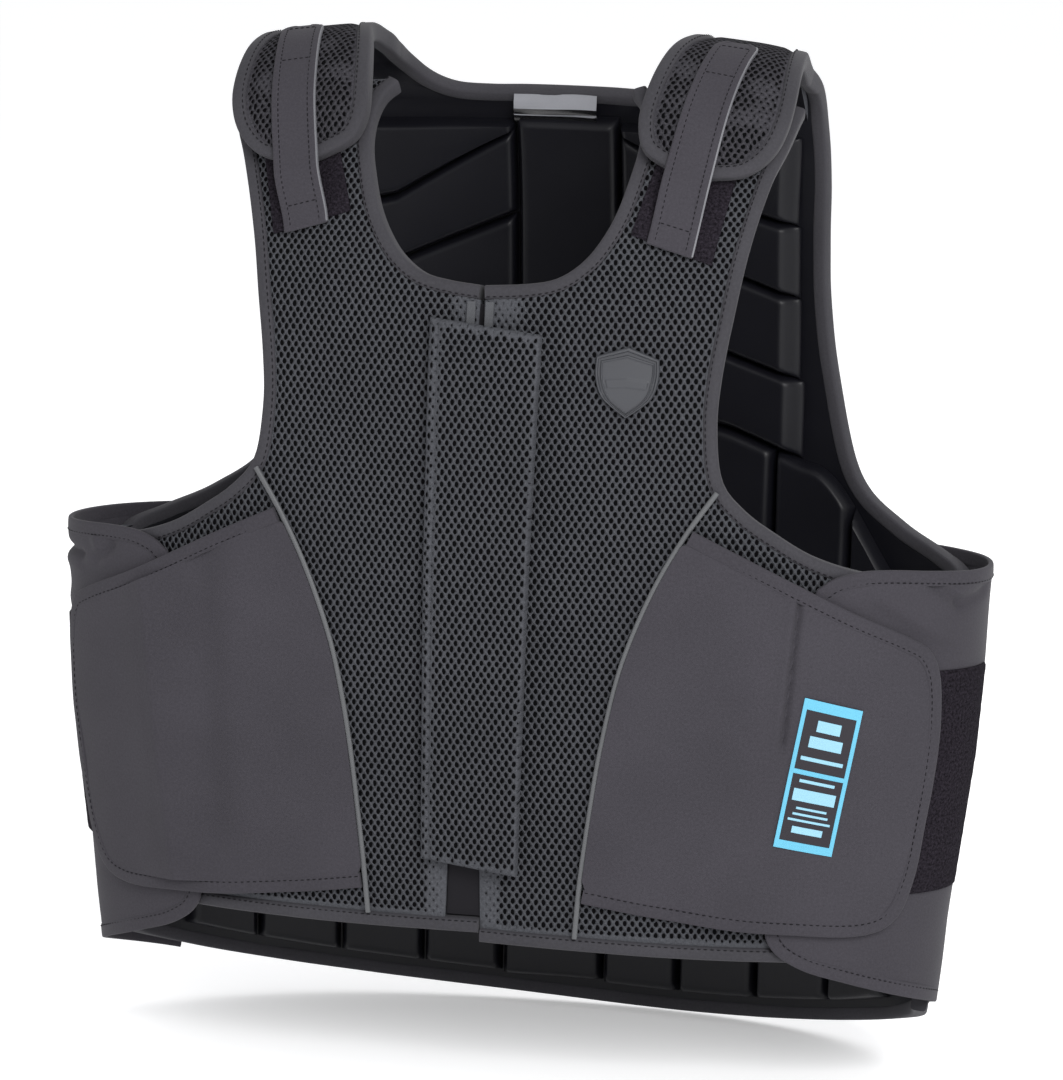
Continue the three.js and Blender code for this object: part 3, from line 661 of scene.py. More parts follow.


# Near-black in the holes: the dark layer under the knit, with painted shade of each hole's depth.
HOLE_LAYER_AND_SHADE_COLOUR = srgb(4, 4, 5)
PILE_SIZE = 0.0016
KNIT = dict(Across=0.0043, Along=0.0064, Hole=0.27, Ragged=0.18)
WORN_KNIT = dict(Across=0.0040, Along=0.0060, Hole=0.25, Ragged=0.42)
finishes = {
    "mesh": cloth("Spacer mesh", srgb(67, 68, 72), 0.9, 0.0008, 0.0012, uneven=0.7, wear=0.06, gloss=0.05,
                  holes=KNIT, pile=0.22),
    "worn_mesh": cloth("Worn spacer mesh", srgb(55, 54, 58), 0.95, 0.0009, 0.0013, uneven=0.9, wear=0.12,
                       gloss=0.05, holes=WORN_KNIT, pile=0.3),
    "softshell": cloth("Softshell", srgb(54, 52, 57), 0.85, 0.0009, 0.00012, uneven=0.8, wear=0.07,
                       sheen=0.04, gloss=0.12, pile=0.1),
    "hem": cloth("Turned softshell hem", srgb(53, 51, 56), 0.8, 0.0009, 0.00012, uneven=0.8, wear=0.07,
                 sheen=0.04, gloss=0.12, pile=0.12),
    "underlap": cloth("Underlap cloth", srgb(26, 25, 28), 0.85, 0.0007, 0.00008, gloss=0.1),
    "tape": cloth("Binding tape", srgb(53, 52, 56), 0.75, 0.0009, 0.00014, uneven=0.5, sheen=0.04,
                  gloss=0.15, pile=0.12),
    "piping": cloth("Piping", srgb(80, 81, 83), 0.45, 0.0005, 0.00004, wear=0.05),
    # A pale strip along each strap's lit side is a painted highlight, lighter than the cloth.
    "painted_highlight": cloth("Painted highlight edge", srgb(100, 100, 104), 0.45, 0.0005, 0.00004, wear=0.08),
    # Lining colour: near-black satin, set darker still as painted shade of the vest's inside.
    "lining": cloth("Lining satin", srgb(13, 13, 18), 0.42, 0.0005, 0.00004, wear=0.12, gloss=0.22),
    "hook": cloth("Loop patch", srgb(31, 28, 33), 1.0, 0.0011, 0.0012, uneven=1.0, wear=0.1, gloss=0.03,
                  pile=0.7),
    "rubber": cloth("Badge rubber", srgb(55, 56, 60), 0.5, 0.0003, 0.00002, wear=0.05, gloss=0.35),
    "label": cloth("Woven label field", srgb(48, 46, 50), 0.75, 0.0004, 0.00005, wear=0.04, gloss=0.1),
    "turquoise": cloth("Turquoise thread", srgb(90, 164, 190), 0.6, 0.0007, 0.00008, uneven=0.2, wear=0.05),
    "pale_thread": cloth("Pale thread", srgb(132, 178, 196), 0.6, 0.0007, 0.00008, uneven=0.2, wear=0.05),
    "zip": cloth("Zip tape", srgb(70, 71, 74), 0.6, 0.0011, 0.0002, uneven=0.2, gloss=0.15),
    "silver": cloth("Silver satin", srgb(122, 123, 128), 0.3, 0.0004, 0.00004, wear=0.16, gloss=0.5),
    "black_satin": cloth("Black satin", srgb(14, 14, 16), 0.16, 0.0004, 0.00003, wear=0.1, gloss=0.9),
    # Stitch thread: a dark thread, made darker still as painted shade of the small groove about each
    # stitch.
    "thread": cloth("Thread", srgb(24, 23, 26), 0.8, 0.0003, 0.00002, gloss=0.1),
}
print(len(finishes), "finishes")

# %% [markdown]
# One helper lays any piece of cloth or foam. A flat grid is extruded once, which gives a thin closed
# box, and then each vertex is moved: its place in the grid says where it lies in the pattern, and its
# layer says whether it is the outer face or the inner one. The pattern map keeps the flat measures.

# %% A helper that lays cloth
def dense_rims(share):
    """Moves grid lines towards the rims, where the shape turns most."""
    return lambda x: mix(x, 0.5 - 0.5 * np.cos(np.pi * x), share)


def placed(name, mesh, finish_names, nodes=(), slot=None):
    piece = bpy.data.objects.new(name, mesh)
    bpy.context.scene.collection.objects.link(piece)
    for key in finish_names:
        mesh.materials.append(finishes[key])
    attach(piece, "root")
    if nodes:
        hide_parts(*nodes)
    return piece


SHARP_CLOTH = math.radians(40)
SHARP_TAPE = math.radians(50)


def boxed_grid(name, cols, rows, boxes):
    """A flat grid in each box, extruded once. The under layer's faces take the second finish."""
    bm = bmesh.new()
    for w0, w1, v0, v1 in boxes:
        share = Matrix.Diagonal((w1 - w0, v1 - v0, 1, 1))
        centre = Matrix.Translation(((w0 + w1 - 1) / 2, (v0 + v1 - 1) / 2, 0))
        bmesh.ops.create_grid(bm, x_segments=cols, y_segments=rows, size=0.5, matrix=centre @ share)
    made = bmesh.ops.extrude_face_region(bm, geom=bm.faces[:], use_keep_orig=True)
    top = [e for e in made["geom"] if isinstance(e, bmesh.types.BMVert)]
    bmesh.ops.translate(bm, vec=(0, 0, 1), verts=top)
    for face in bm.faces:
        face.smooth = True
        face.material_index = 1 if face.calc_center_median().z < 0.25 else 0
    mesh = bpy.data.meshes.new(name)
    bm.to_mesh(mesh)
    bm.free()
    return mesh


def laid(name, cols, rows, at, lift, finish, inner=None, nodes=None, dense=0.6, pressed=None,
         boxes=((0, 1, 0, 1),)):
    """at(w, v) gives the pattern's two measures, lift(w, v, u, run) the outer and inner heights."""
    mesh = boxed_grid(name, cols, rows, boxes)
    flat = np.empty(len(mesh.vertices) * 3)
    mesh.vertices.foreach_get("co", flat)
    flat = flat.reshape(-1, 3)
    ease = dense_rims(dense)
    w, v = ease(flat[:, 0] + 0.5), ease(flat[:, 1] + 0.5)
    u, run = at(w, v)
    outer, under = lift(w, v, u, run)
    points = skin(u, run, np.where(flat[:, 2] > 0.5, outer, under))
    mesh.vertices.foreach_set("co", points.ravel())
    corner = np.empty(len(mesh.loops), int)
    mesh.loops.foreach_get("vertex_index", corner)
    chart = np.stack([u, run], axis=1)[corner] * MM
    mesh.uv_layers.new(name=PATTERN_MAP).data.foreach_set("uv", chart.ravel())
    if pressed:
        mask = np.clip(pressed(w, v, u, run), 0, 1).astype(np.float32)
        mesh.attributes.new(PRESSED, "FLOAT", "POINT").data.foreach_set("value", mask)
    face_outwards(mesh)
    mesh.set_sharp_from_angle(angle=SHARP_CLOTH)
    return placed(name, mesh, [finish, inner or finish], (name,) if nodes is None else nodes, finish)


def turn_outwards(bm):
    bmesh.ops.recalc_face_normals(bm, faces=bm.faces[:])
    if bm.calc_volume(signed=True) < 0:
        bmesh.ops.reverse_faces(bm, faces=bm.faces[:])


def face_outwards(mesh):
    bm = bmesh.new()
    bm.from_mesh(mesh)
    turn_outwards(bm)
    bm.to_mesh(mesh)
    bm.free()


def ripple(u, run, size, seed):
    """A soft unevenness from a few crossed waves, from about -1 to 1."""
    total = 0 * u
    for k in range(4):
        angle = seed * 1.7 + k * 2.1
        rate = 2 * math.pi / (size * (1 + 0.37 * k))
        total = total + np.sin(rate * (u * math.cos(angle) + run * math.sin(angle)) + seed * 3 + k * 1.3)
    return total / 3


# %% [markdown]
# Every cut edge is bound with folded tape. Its section is a rounded bar as deep as the layers that it
# wraps. The bar is a grid rolled into a tube: one direction follows the edge, the other goes round.

# %% A helper that binds an edge
def bar_section(turn, width, top, low, squareness):
    """A rounded bar: how far in from the rim, and how high, at a turn from 0 to 1."""
    c, s = np.cos(2 * np.pi * turn), np.sin(2 * np.pi * turn)
    power = 2 / squareness
    a = width * (0.5 - 0.5 * np.sign(c) * np.abs(c) ** power)
    h = (top + low) / 2 + (top - low) / 2 * np.sign(s) * np.abs(s) ** power
    return a, h


def bound(name, path, inward, faces, steps, width=TAPE_WIDE, rise=TAPE_RISE, finish="tape",
          squareness=4.5, round_steps=20, uneven=0.22):
    """Tape along a path. inward is 1 where it lies to the path's left in the pattern, or else -1."""
    bm = bmesh.new()
    chart = bm.loops.layers.uv.new(PATTERN_MAP)
    bmesh.ops.create_grid(bm, x_segments=steps, y_segments=round_steps, size=0.5)
    bm.verts.ensure_lookup_table()
    flat = np.array([v.co[:] for v in bm.verts])
    t, turn = np.clip(flat[:, 0] + 0.5, 0, 1), flat[:, 1] + 0.5
    rim_u, rim_run = path(t)
    top, low = faces(rim_u, rim_run)
    a, h = bar_section(turn, width, top + rise, low - rise, squareness)
    h = h + uneven * ripple(rim_u, rim_run, 34, 0.7)
    u, run = inset(path, inward * (a + uneven * ripple(rim_u, rim_run, 47, 3.1) * a / width))(t)
    points = skin(u, run, h)
    length = np.interp(t, *lengths_along(path))
    for face in bm.faces:
        face.smooth = True
        for loop in face.loops:
            k = loop.vert.index
            loop[chart].uv = (length[k] * MM, turn[k] * 2 * (width + 12) * MM)
    for vert, point in zip(bm.verts, points):
        vert.co = point
    bmesh.ops.remove_doubles(bm, verts=bm.verts[:], dist=1e-6)
    open_edges = [e for e in bm.edges if e.is_boundary]
    bmesh.ops.holes_fill(bm, edges=open_edges, sides=0)
    turn_outwards(bm)
    mesh = bpy.data.meshes.new(name)
    bm.to_mesh(mesh)
    bm.free()
    mesh.set_sharp_from_angle(angle=SHARP_TAPE)
    placed(name, mesh, [finish], (name,), finish)


# %% [markdown]
# A row of stitches is what makes sewn work read as sewn. Each stitch is a tiny sphere stretched along
# the seam, half sunk in the cloth. There are thousands, and a bmesh gets slow as it grows. So one
# sphere is made by an operator, and its points are copied to every place of the seam at once.

# %% A helper that sews
STITCH_PITCH = 3.6
STITCH_LONG = 1.15
STITCH_THICK = 0.34


def one_stitch():
    bm = bmesh.new()
    bmesh.ops.create_uvsphere(bm, u_segments=6, v_segments=4, radius=1)
    bmesh.ops.triangulate(bm, faces=bm.faces[:])
    points = np.array([v.co[:] for v in bm.verts])
    corners = np.array([[v.index for v in f.verts] for f in bm.faces])
    bm.free()
    return points * np.array([STITCH_THICK, STITCH_THICK, STITCH_LONG]) * MM, corners


stitch_points, stitch_faces = one_stitch()


def unit(x):
    return x / np.linalg.norm(x, axis=1, keepdims=True)


def sewn(name, rows, pitch=STITCH_PITCH):
    """rows is a list of (path, height of the cloth under the stitches)."""
    copies = []
    for path, height in rows:
        shares, length = lengths_along(path)
        number = max(2, int(length[-1] / pitch))
        t = np.interp((np.arange(number) + 0.5) / number * length[-1], length, shares)
        u, run = path(t)
        ahead, behind = path(np.clip(t + 0.004, 0, 1)), path(np.clip(t - 0.004, 0, 1))
        h = height(u, run, t)
        here = skin(u, run, h)
        up = unit(skin(u, run, h + 1.0) - here)
        along = unit(skin(*ahead, h) - skin(*behind, h))
        turn = np.stack([unit(np.cross(along, up)), up, along], axis=1)
        copies.append(here[:, None, :] + stitch_points @ turn)
    points = np.concatenate(copies)
    count = len(points)
    faces = stitch_faces[None] + (np.arange(count) * len(stitch_points))[:, None, None]
    mesh = bpy.data.meshes.new(name)
    mesh.from_pydata(points.reshape(-1, 3), [], faces.reshape(-1, 3))
    mesh.polygons.foreach_set("use_smooth", np.ones(len(mesh.polygons), bool))
    mesh.uv_layers.new(name=PATTERN_MAP)
    face_outwards(mesh)
    # The thread finish is a dark thread, with painted shade of the groove about each stitch.
    placed(name, mesh, ["thread"], (), "thread")
    print(name, count, "stitches")


SEAM_SHARE = 0.8
SEAM_SUNK = 0.05


def taped(name, path, inward, faces, steps, rise=TAPE_RISE, **look):
    """Binds an edge, and gives the seam that holds the tape down near its inner edge."""
    def height(u, run, t):
        return faces(u, run)[0] + rise - SEAM_SUNK

    bound(name, path, inward, faces, steps, rise=rise, **look)
    return inset(path, inward * TAPE_WIDE * SEAM_SHARE), height


# %% [markdown]
# A foam piece under cloth is flat in the middle and rounds off at its rim, like a firm cushion. Two
# rules give the distance of a place from the rim, and the share of the full height that it has there.

# %% Rules for rounded rims
def from_rim(w, v, wide, high):
    """The distance from the nearest rim of a piece that is about wide by high millimetres."""
    return np.minimum(np.minimum(w, 1 - w) * wide, np.minimum(v, 1 - v) * high)


def rim_round(w, v, wide, high, radius):
    """0 at the rim, 1 where the foam is flat."""
    t = np.clip(from_rim(w, v, wide, high) / radius, 0, 1)
    return np.sqrt(np.maximum(0, 1 - (1 - t) ** 2))


SIDES = {"left": 1, "right": -1}

# %% [markdown]
# The front is two foam panels under spacer mesh. Their rows run from the centre edge to the side seam
# below, and to the armhole and the shoulder above, so one grid fills the whole odd shape. The edge sinks
# a little where the binding squeezes it.

# %% Front panels
CENTRE_EDGE = {"left": dict(neck=-2.2, hem=5), "right": dict(neck=4.4, hem=15)}
NECK_SHARE = 13 / 22
SIDE_SHARE = 6 / 22
ARM_STOPS = [(0, 0), (11 / 16, 0.56), (1, 1)]
RIGHT_HEM_START = -4.5


def front_panel(word, side):
    edge = CENTRE_EDGE[word]
    neck_in = inset(neck_front_from(edge["neck"]), -TUCKED)
    arm_in = inset(arm_front, -TUCKED)
    side_end = arm_in(np.array([1.0])).ravel()

    def hem(u):
        return hem_front(side, u) + TUCKED

    def at(w, v):
        low = np.minimum(v / NECK_SHARE, 1)
        inner_low = np.stack([
            mix(edge["hem"], edge["neck"], low), mix(hem(edge["hem"]), -NECK_FRONT - TUCKED, low)])
        inner_high = neck_in(np.clip((v - NECK_SHARE) / (1 - NECK_SHARE), 0, 1))
        inner = np.where(v <= NECK_SHARE, inner_low, inner_high)
        lift_share = np.minimum(v / SIDE_SHARE, 1)
        outer_low = np.stack([side_end[0] + 0 * v, mix(hem(side_end[0]), side_end[1], lift_share)])
        outer_high = arm_in(read(ARM_STOPS, 1 - np.clip((v - SIDE_SHARE) / (1 - SIDE_SHARE), 0, 1)))
        outer = np.where(v <= SIDE_SHARE, outer_low, outer_high)
        u, run = mix(inner, outer, w)
        return side * u, run

    def lift(w, v, u, run):
        top, low = front_faces(u, run)
        squeeze = 1 - rim_round(w, v, 200, 460, 11)
        soft = 0.4 * ripple(u, run, 90, 1.3 + side) + 0.15 * ripple(u, run, 31, 2.9 * side)
        return top - 1.5 * squeeze - 0.4 + soft, low + 0.8 * squeeze

    def pressed(w, v, u, run):
        """Where the cloth is sewn flat: beside the opening's two ends, and thinly at each binding."""
        fuzz = 0.55 + 0.25 * ripple(u, run, 7, 1.9)
        low = (1 - smooth(8, 12, np.abs(u) - edge["hem"])) * (1 - smooth(-512, -500, run))
        high = (1 - smooth(10, 24, np.abs(u))) * smooth(-224, -208, run)
        rim = 1 - smooth(1.2, 2.6, from_rim(w, v, 180, 400))
        return np.maximum(np.maximum(low, high) * fuzz, rim)

    piece = laid(f"front_panel_{word}", 64, 120, at, lift, "mesh", "lining", pressed=pressed)


for word, side in SIDES.items():
    front_panel(word, side)
print("front panels laid")

# %% Front bindings
for word, side in SIDES.items():
    neck = mirrored(neck_front_from(CENTRE_EDGE[word]["neck"]), side)
    arm = mirrored(arm_front, side)
    hem_start = CENTRE_EDGE["left"]["hem"] if word == "left" else RIGHT_HEM_START
    hem_end = SIDE_FRONT - INSIDE

    def hem_path(t, side=side, start=hem_start):
        u = mix(start, hem_end, np.asarray(t, float))
        return np.stack([side * u, hem_front(side, u)])

    sewn(f"front_stitches_{word}", [
        taped(f"front_neck_binding_{word}", neck, -side, front_faces, 48),
        taped(f"front_armhole_binding_{word}", arm, -side, front_faces, 72),
        taped(f"front_hem_binding_{word}", hem_path, side, front_faces, 40),
    ])

# %% [markdown]
# A flat cloth wing comes round each side from the back, and a wider flap from the front closes over it.
# Both are single layers of softshell, so they are laid as thin sheets between four edge lines. The
# flat size that each was cut to is worked out and printed.

# %% A rule for four-sided cuts
def four_sided(left, right, low, high):
    """Fills the shape between four lines: left and right run upwards, low and high run across."""
    def at(w, v):
        l, r, lo, hi = left(v), right(v), low(w), high(w)
        one, none = np.ones_like(w), np.zeros_like(w)
        corners = mix(mix(left(none), right(none), w), mix(left(one), right(one), w), v)
        return mix(l, r, w) + mix(lo, hi, v) - corners
    return at


def flipped(at, side):
    def turned(w, v):
        u, run = at(w, v)
        return side * u, run
    return turned


CUT_STEPS = 61


def cut_size(piece, at):
    """The flat size of a cut: its box, and its area from a fine grid of the pattern, in metres."""
    shares = np.linspace(0, 1, CUT_STEPS)
    w, v = (x.ravel() for x in np.meshgrid(shares, shares))
    u, run = (x.reshape(CUT_STEPS, CUT_STEPS) * MM for x in at(w, v))
    du, dr = np.diff(u, axis=1)[:-1], np.diff(run, axis=1)[:-1]
    eu, er = np.diff(u, axis=0)[:, :-1], np.diff(run, axis=0)[:, :-1]
    flat, area = (float(np.ptp(u)), float(np.ptp(run))), float(np.abs(du * er - dr * eu).sum())
    print(piece.name, "cut", [round(x, 3) for x in flat], "m", round(area, 4), "m2")
    return flat, area


# %% A rule for folds
def crease(u, run, folds):
    """Soft valleys and ridges: each a line in the pattern, with its half width and height."""
    total = 0 * u
    for (u0, run0), (u1, run1), wide, high in folds:
        long = math.hypot(u1 - u0, run1 - run0)
        along = ((u - u0) * (u1 - u0) + (run - run0) * (run1 - run0)) / long
        away = ((u - u0) * (run1 - run0) - (run - run0) * (u1 - u0)) / long
        fade = smooth(-wide * 2, wide, along) * (1 - smooth(long - wide, long + wide * 3, along))
        total = total + high * fade * np.exp(-((away / wide) ** 2))
    return total


WING_FOLDS = {
    "left": [((252, -353), (272, -366), 3.0, -2.8), ((272, -366), (300, -362), 3.6, -2.6),
             ((262, -352), (290, -353), 4, 1.2), ((218, -366), (264, -392), 5, -1.5),
             ((222, -360), (262, -384), 5, 0.9)],
    "right": [((226, -356), (241, -366), 2.6, -2.8), ((244, -353), (238, -364), 4, 1.5),
              ((258, -366), (312, -366), 3.2, -3.4), ((262, -373), (312, -373), 4, 1.2),
              ((236, -374), (280, -386), 6, -1.2), ((240, -382), (290, -396), 6, 1.0)],
}
FLAP_FOLDS = {
    "left": [((177.6, -342), (169, -440), 1.6, -2.4), ((173.6, -342), (165, -436), 2.6, 0.9),
             ((182, -346), (174, -430), 3.4, 0.6), ((120, -520), (215, -505), 16, 0.6)],
    "right": [((200, -360), (174, -548), 17, 3.8), ((199, -360), (173, -548), 4, 0.9),
              ((160, -338), (152, -505), 11, -2.6), ((141, -338), (136, -490), 9, 0.8)],
}

# %% Wings from the back
WING_STOPS = [(0, 0), (1 / 3, 0.385), (2 / 3, 0.64), (1, 1)]
HEM_RISE = 0.35


def back_wing(word, side):
    rim = inset(wing_rim, TUCKED)
    far_low, far_high = (rim(np.array([x])) for x in (1.0, 0.0))
    at = flipped(four_sided(
        lambda v: rim(read(WING_STOPS, mix(2, 1, v) / 3)),
        lambda v: mix(far_low, far_high, v),
        lambda w: rim(read(WING_STOPS, mix(2, 3, w) / 3)),
        lambda w: rim(read(WING_STOPS, mix(1, 0, w) / 3)),
    ), side)

    folds = WING_FOLDS[word]

    def lift(w, v, u, run):
        outer, under = wing_faces(u, run)
        soft = 0.5 * ripple(u, run, 60, 2.2 + side) + crease(np.abs(u), run, folds)
        return outer + soft, under + soft

    piece = laid(f"back_wing_{word}", 120, 130, at, lift, "softshell", dense=0.3)
    flat, area = cut_size(piece, at)
    sewn(f"wing_stitches_{word}", [
        taped(f"back_wing_binding_{word}", mirrored(wing_rim, side), side, wing_faces, 160,
              rise=HEM_RISE, finish="hem", uneven=0.4),
    ])


for word, side in SIDES.items():
    back_wing(word, side)

# %% Side flaps
FLAP_STOPS = [(0, 0), (1 / 3, 0.312), (2 / 3, 0.628), (1, 1)]
SEAM_FOOT = 0.905
SEAM_HEAD = 0.135
AT_SEAM = 0.004


def side_flap(word, side):
    flap_rim = flap_rims[word]
    rim, seam = inset(flap_rim, -TUCKED), inset(piping_line, 1.2)

    def low(w):
        return np.where(w < AT_SEAM, seam(SEAM_FOOT + 0 * w), rim(read(FLAP_STOPS, 1 - w / 3)))

    def high(w):
        return np.where(w < AT_SEAM, seam(SEAM_HEAD + 0 * w), rim(read(FLAP_STOPS, w / 3)))

    at = flipped(four_sided(
        lambda v: seam(mix(SEAM_FOOT, SEAM_HEAD, v)),
        lambda v: rim(read(FLAP_STOPS, mix(2, 1, v) / 3)),
        low, high), side)

    folds = FLAP_FOLDS[word]

    def lift(w, v, u, run):
        outer, under = flap_faces(u, run)
        soft, fold = 0.45 * ripple(u, run, 80, 4.1 + side), crease(np.abs(u), run, folds)
        return outer + soft + fold, under + soft + 0.4 * fold

    piece = laid(f"side_flap_{word}", 190, 76, at, lift, "softshell", dense=0.3)
    flat, area = cut_size(piece, at)
    hem_seam = taped(f"side_flap_binding_{word}", mirrored(flap_rim, side), -side, flap_faces, 180,
                     rise=HEM_RISE, finish="hem", uneven=0.3)
    piping = piping_to(hem_front(side, PIPING_FOOT) + INSIDE - 0.6)
    bound(f"piping_{word}", mirrored(inset(piping, -1.5), side), side,
          lambda u, run: (0 * u + 2.9, 0 * u + 0.9), 60, width=3.0, rise=0.2, finish="piping",
          squareness=2.2, round_steps=12, uneven=0.08)
    sewn(f"flap_stitches_{word}", [hem_seam])


for word, side in SIDES.items():
    side_flap(word, side)

# %% [markdown]
# Loop patches hold the flaps and straps. They are thin, with a rough pile.

# %% Loop patches
def wing_patch(word, side):
    def at(w, v):
        u = mix(mix(196, 205, v), mix(293, 309, v), w)
        return side * u, mix(-526, -400, v) - w * 5

    def lift(w, v, u, run):
        pile = 0.12 * ripple(u, run, 5, 1.1)
        sewn_down = 0.9 * (1 - rim_round(w, v, 100, 126, 2.5))
        return WING_LIFT + CLOTH + 1.9 + pile - sewn_down, 0 * u + WING_LIFT + CLOTH - 0.4

    laid(f"wing_hook_patch_{word}", 40, 48, at, lift, "hook")


def shoulder_patch(word, side):
    near, low = (76, -163) if side > 0 else (82, -156)

    def at(w, v):
        u = near + mix(45, 42, v) * w + v * 16
        return side * u, mix(low, -96, v) - w * mix(16.5, 6, v)

    def lift(w, v, u, run):
        sewn_down = 0.9 * (1 - rim_round(w, v, 45, 64, 2.5))
        return 1.9 + 0.12 * ripple(u, run, 5, 2.3) - sewn_down, 0 * u - 0.4

    laid(f"shoulder_hook_patch_{word}", 30, 44, at, lift, "hook")


for word, side in SIDES.items():
    wing_patch(word, side)
    shoulder_patch(word, side)
print("loop patches laid")

# %% [markdown]
# The back's foam carries on over each shoulder as a padded flap with a round end. It bends over the
# front panel and a strap closes it.

# %% Shoulder flaps
ARM_TAIL = 0.155
TAIL_SHARE = 5 / 17
SHOULDER_STOPS = [(0, 0), (12 / 25, 0.474), (13 / 25, 0.532), (1, 1)]


def shoulder_flap(word, side):
    rim = shoulder_rims[word]
    rim_in = inset(rim, TUCKED)
    tail_neck, tail_arm = inset(neck_back, TUCKED), inset(arm_back, TUCKED)

    def at(w, v):
        tail = np.clip(v / TAIL_SHARE, 0, 1)
        share = np.clip((v - TAIL_SHARE) / (1 - TAIL_SHARE), 0, 1) * 12 / 25
        in_tail = v <= TAIL_SHARE
        neck = np.where(in_tail, tail_neck(mix(0.5, 1, tail)), rim_in(read(SHOULDER_STOPS, share)))
        arm = np.where(in_tail, tail_arm(mix(ARM_TAIL - 0.006, 0, tail)),
                       rim_in(read(SHOULDER_STOPS, 1 - share)))
        u, run = mix(neck, arm, w)
        return side * u, run

    def from_edge(w, v):
        """The distance from the bound edge. The tail, at v = 0, has none."""
        return np.minimum(np.minimum(w, 1 - w) * 60, (1 - v) * 170)

    def lift(w, v, u, run):
        outer, under = shoulder_faces(u, run)
        squeeze = 1 - smooth(0, 9, from_edge(w, v))
        soft = 0.35 * ripple(u, run, 50, side) + 0.2 * ripple(u, run, 21, 5 * side)
        return outer - 1.5 * squeeze + 0.3 + soft, under + 0.6 * squeeze

    def pressed(w, v, u, run):
        """Beside the strap the loops are pulled up into a fuzz that closes the holes in patches."""
        fuzz = smooth(0.1, 0.7, ripple(u, run, 26, 2.7 * side)) * (1 - smooth(-62, -30, run))
        rim = 1 - smooth(1, 3, from_edge(w, v))
        return np.maximum(0.34 * fuzz, rim)

    piece = laid(f"shoulder_flap_{word}", 60, 150, at, lift, "worn_mesh", "lining", pressed=pressed)
    sewn(f"shoulder_stitches_{word}", [
        taped(f"shoulder_flap_binding_{word}", mirrored(rim, side), side, shoulder_faces, 110)])


for word, side in SIDES.items():
    shoulder_flap(word, side)

# %% [markdown]
# A strap of turned cloth, with a stitched line along each side, holds each flap down on its loop patch.
# Its outer end is cut round. It follows the flap, then drops to the patch in one smooth bend. A thin
# pale strip along the lit side of each strap is a painted highlight.

# %% Closing straps
STRAPS = {
    "left": dict(low=(97.5, -172), top=(119, -35), edge=1.0, cross=(0.1, 0.76)),
    "right": dict(low=(106.5, -168), top=(128, -27), edge=0.0, cross=(0.1, 0.71)),
}
STRAP_CORNER = 8.5


def shoulder_strap(word, side):
    strap = STRAPS[word]
    long = strap["top"][1] - strap["low"][1]

    def run_at(v):
        return mix(strap["low"][1], strap["top"][1], v)

    def height(run):
        high = shoulder_faces(0 * run, run)[0] + TAPE_RISE + GAP
        return mix(2.3, high, smooth(-166, -FLAP_END - 3, run))

    def at(w, v):
        near_end = np.clip((v - 1) * long / STRAP_CORNER + 1, 0, 1)
        half = STRAP_WIDE / 2 * (1 - 0.07 * v) - STRAP_CORNER * (1 - np.sqrt(1 - near_end ** 2))
        u = mix(strap["low"][0], strap["top"][0], v) + (2 * w - 1) * half
        return side * u, run_at(v) - (w - 0.5) * 8 * (1 - v)

    def lift(w, v, u, run):
        h = height(run_at(v))
        edge = 1 - rim_round(w, v, STRAP_WIDE, 150, 1.2)
        turned = 0.35 * (1 - smooth(3.6, 4.4, np.minimum(w, 1 - w) * STRAP_WIDE))
        return h + STRAP_THICK - 0.35 + turned - 0.7 * edge + 0.12 * ripple(u, run, 40, 3), h + 0 * u

    laid(f"shoulder_strap_{word}", 40, 130, at, lift, "softshell", dense=0.35)

    def seam(w0, v0, w1, v1):
        """A straight seam on the strap, from one place to another, and its height."""
        def path(t):
            return np.stack(at(mix(w0, w1, t), mix(v0, v1, t)))

        def high(u, run, t):
            return height(run_at(mix(v0, v1, t))) + STRAP_THICK - 0.2

        return path, high

    low_seam, top_seam = strap["cross"]
    rows = [seam(w, 0.02, w, 0.94) for w in (0.16, 0.84)] + [seam(0.16, 0.945, 0.84, 0.945)]
    rows += [seam(0.16, v, 0.84, v) for v in (low_seam, top_seam)]
    sewn(f"strap_stitches_{word}", rows, pitch=3.0)

    # The pale strip along the strap's lit side is a painted highlight.
    def shine_at(w, v):
        u, run = at(strap["edge"] + 0 * w, mix(0.005, 0.975, v))
        return u + side * (w - 0.5) * 0.9, run

    def shine_lift(w, v, u, run):
        h = height(run_at(mix(0.005, 0.975, v)))
        return h + STRAP_THICK - 0.1, h + 0.2

    laid(f"strap_painted_highlight_{word}", 4, 120, shine_at, shine_lift, "painted_highlight", nodes=())


for word, side in SIDES.items():
    shoulder_strap(word, side)
print("straps laid")

# %% [markdown]
# The centre front opens with a zip, hidden by a padded placket that is sewn down along one side.

# %% Underlap, zip and placket
def zip_underlap():
    def at(w, v):
        run = mix(-FRONT_HEM + TAPE_WIDE + TILT + 1, -NECK_FRONT - TAPE_WIDE - 2, v)
        t = (run + FRONT_HEM) / (FRONT_HEM - NECK_FRONT)
        return mix(mix(-15, -4.4, t) + GAP, mix(5, -2.2, t) - GAP, w), run

    laid("zip_underlap", 6, 60, at, lambda w, v, u, run: (0 * u - 3, 0 * u - 9), "underlap")


def zip_tape(word, side):
    def at(w, v):
        return (mix(-5, -3.6, v) + side * mix(2.8, 7.4, w),
                mix(-FRONT_HEM + 46, -NECK_FRONT - TAPE_WIDE - 1, v))

    laid(f"zip_tape_{word}", 4, 60, at, lambda w, v, u, run: (0 * u + 1.4, 0 * u + GAP), "zip")


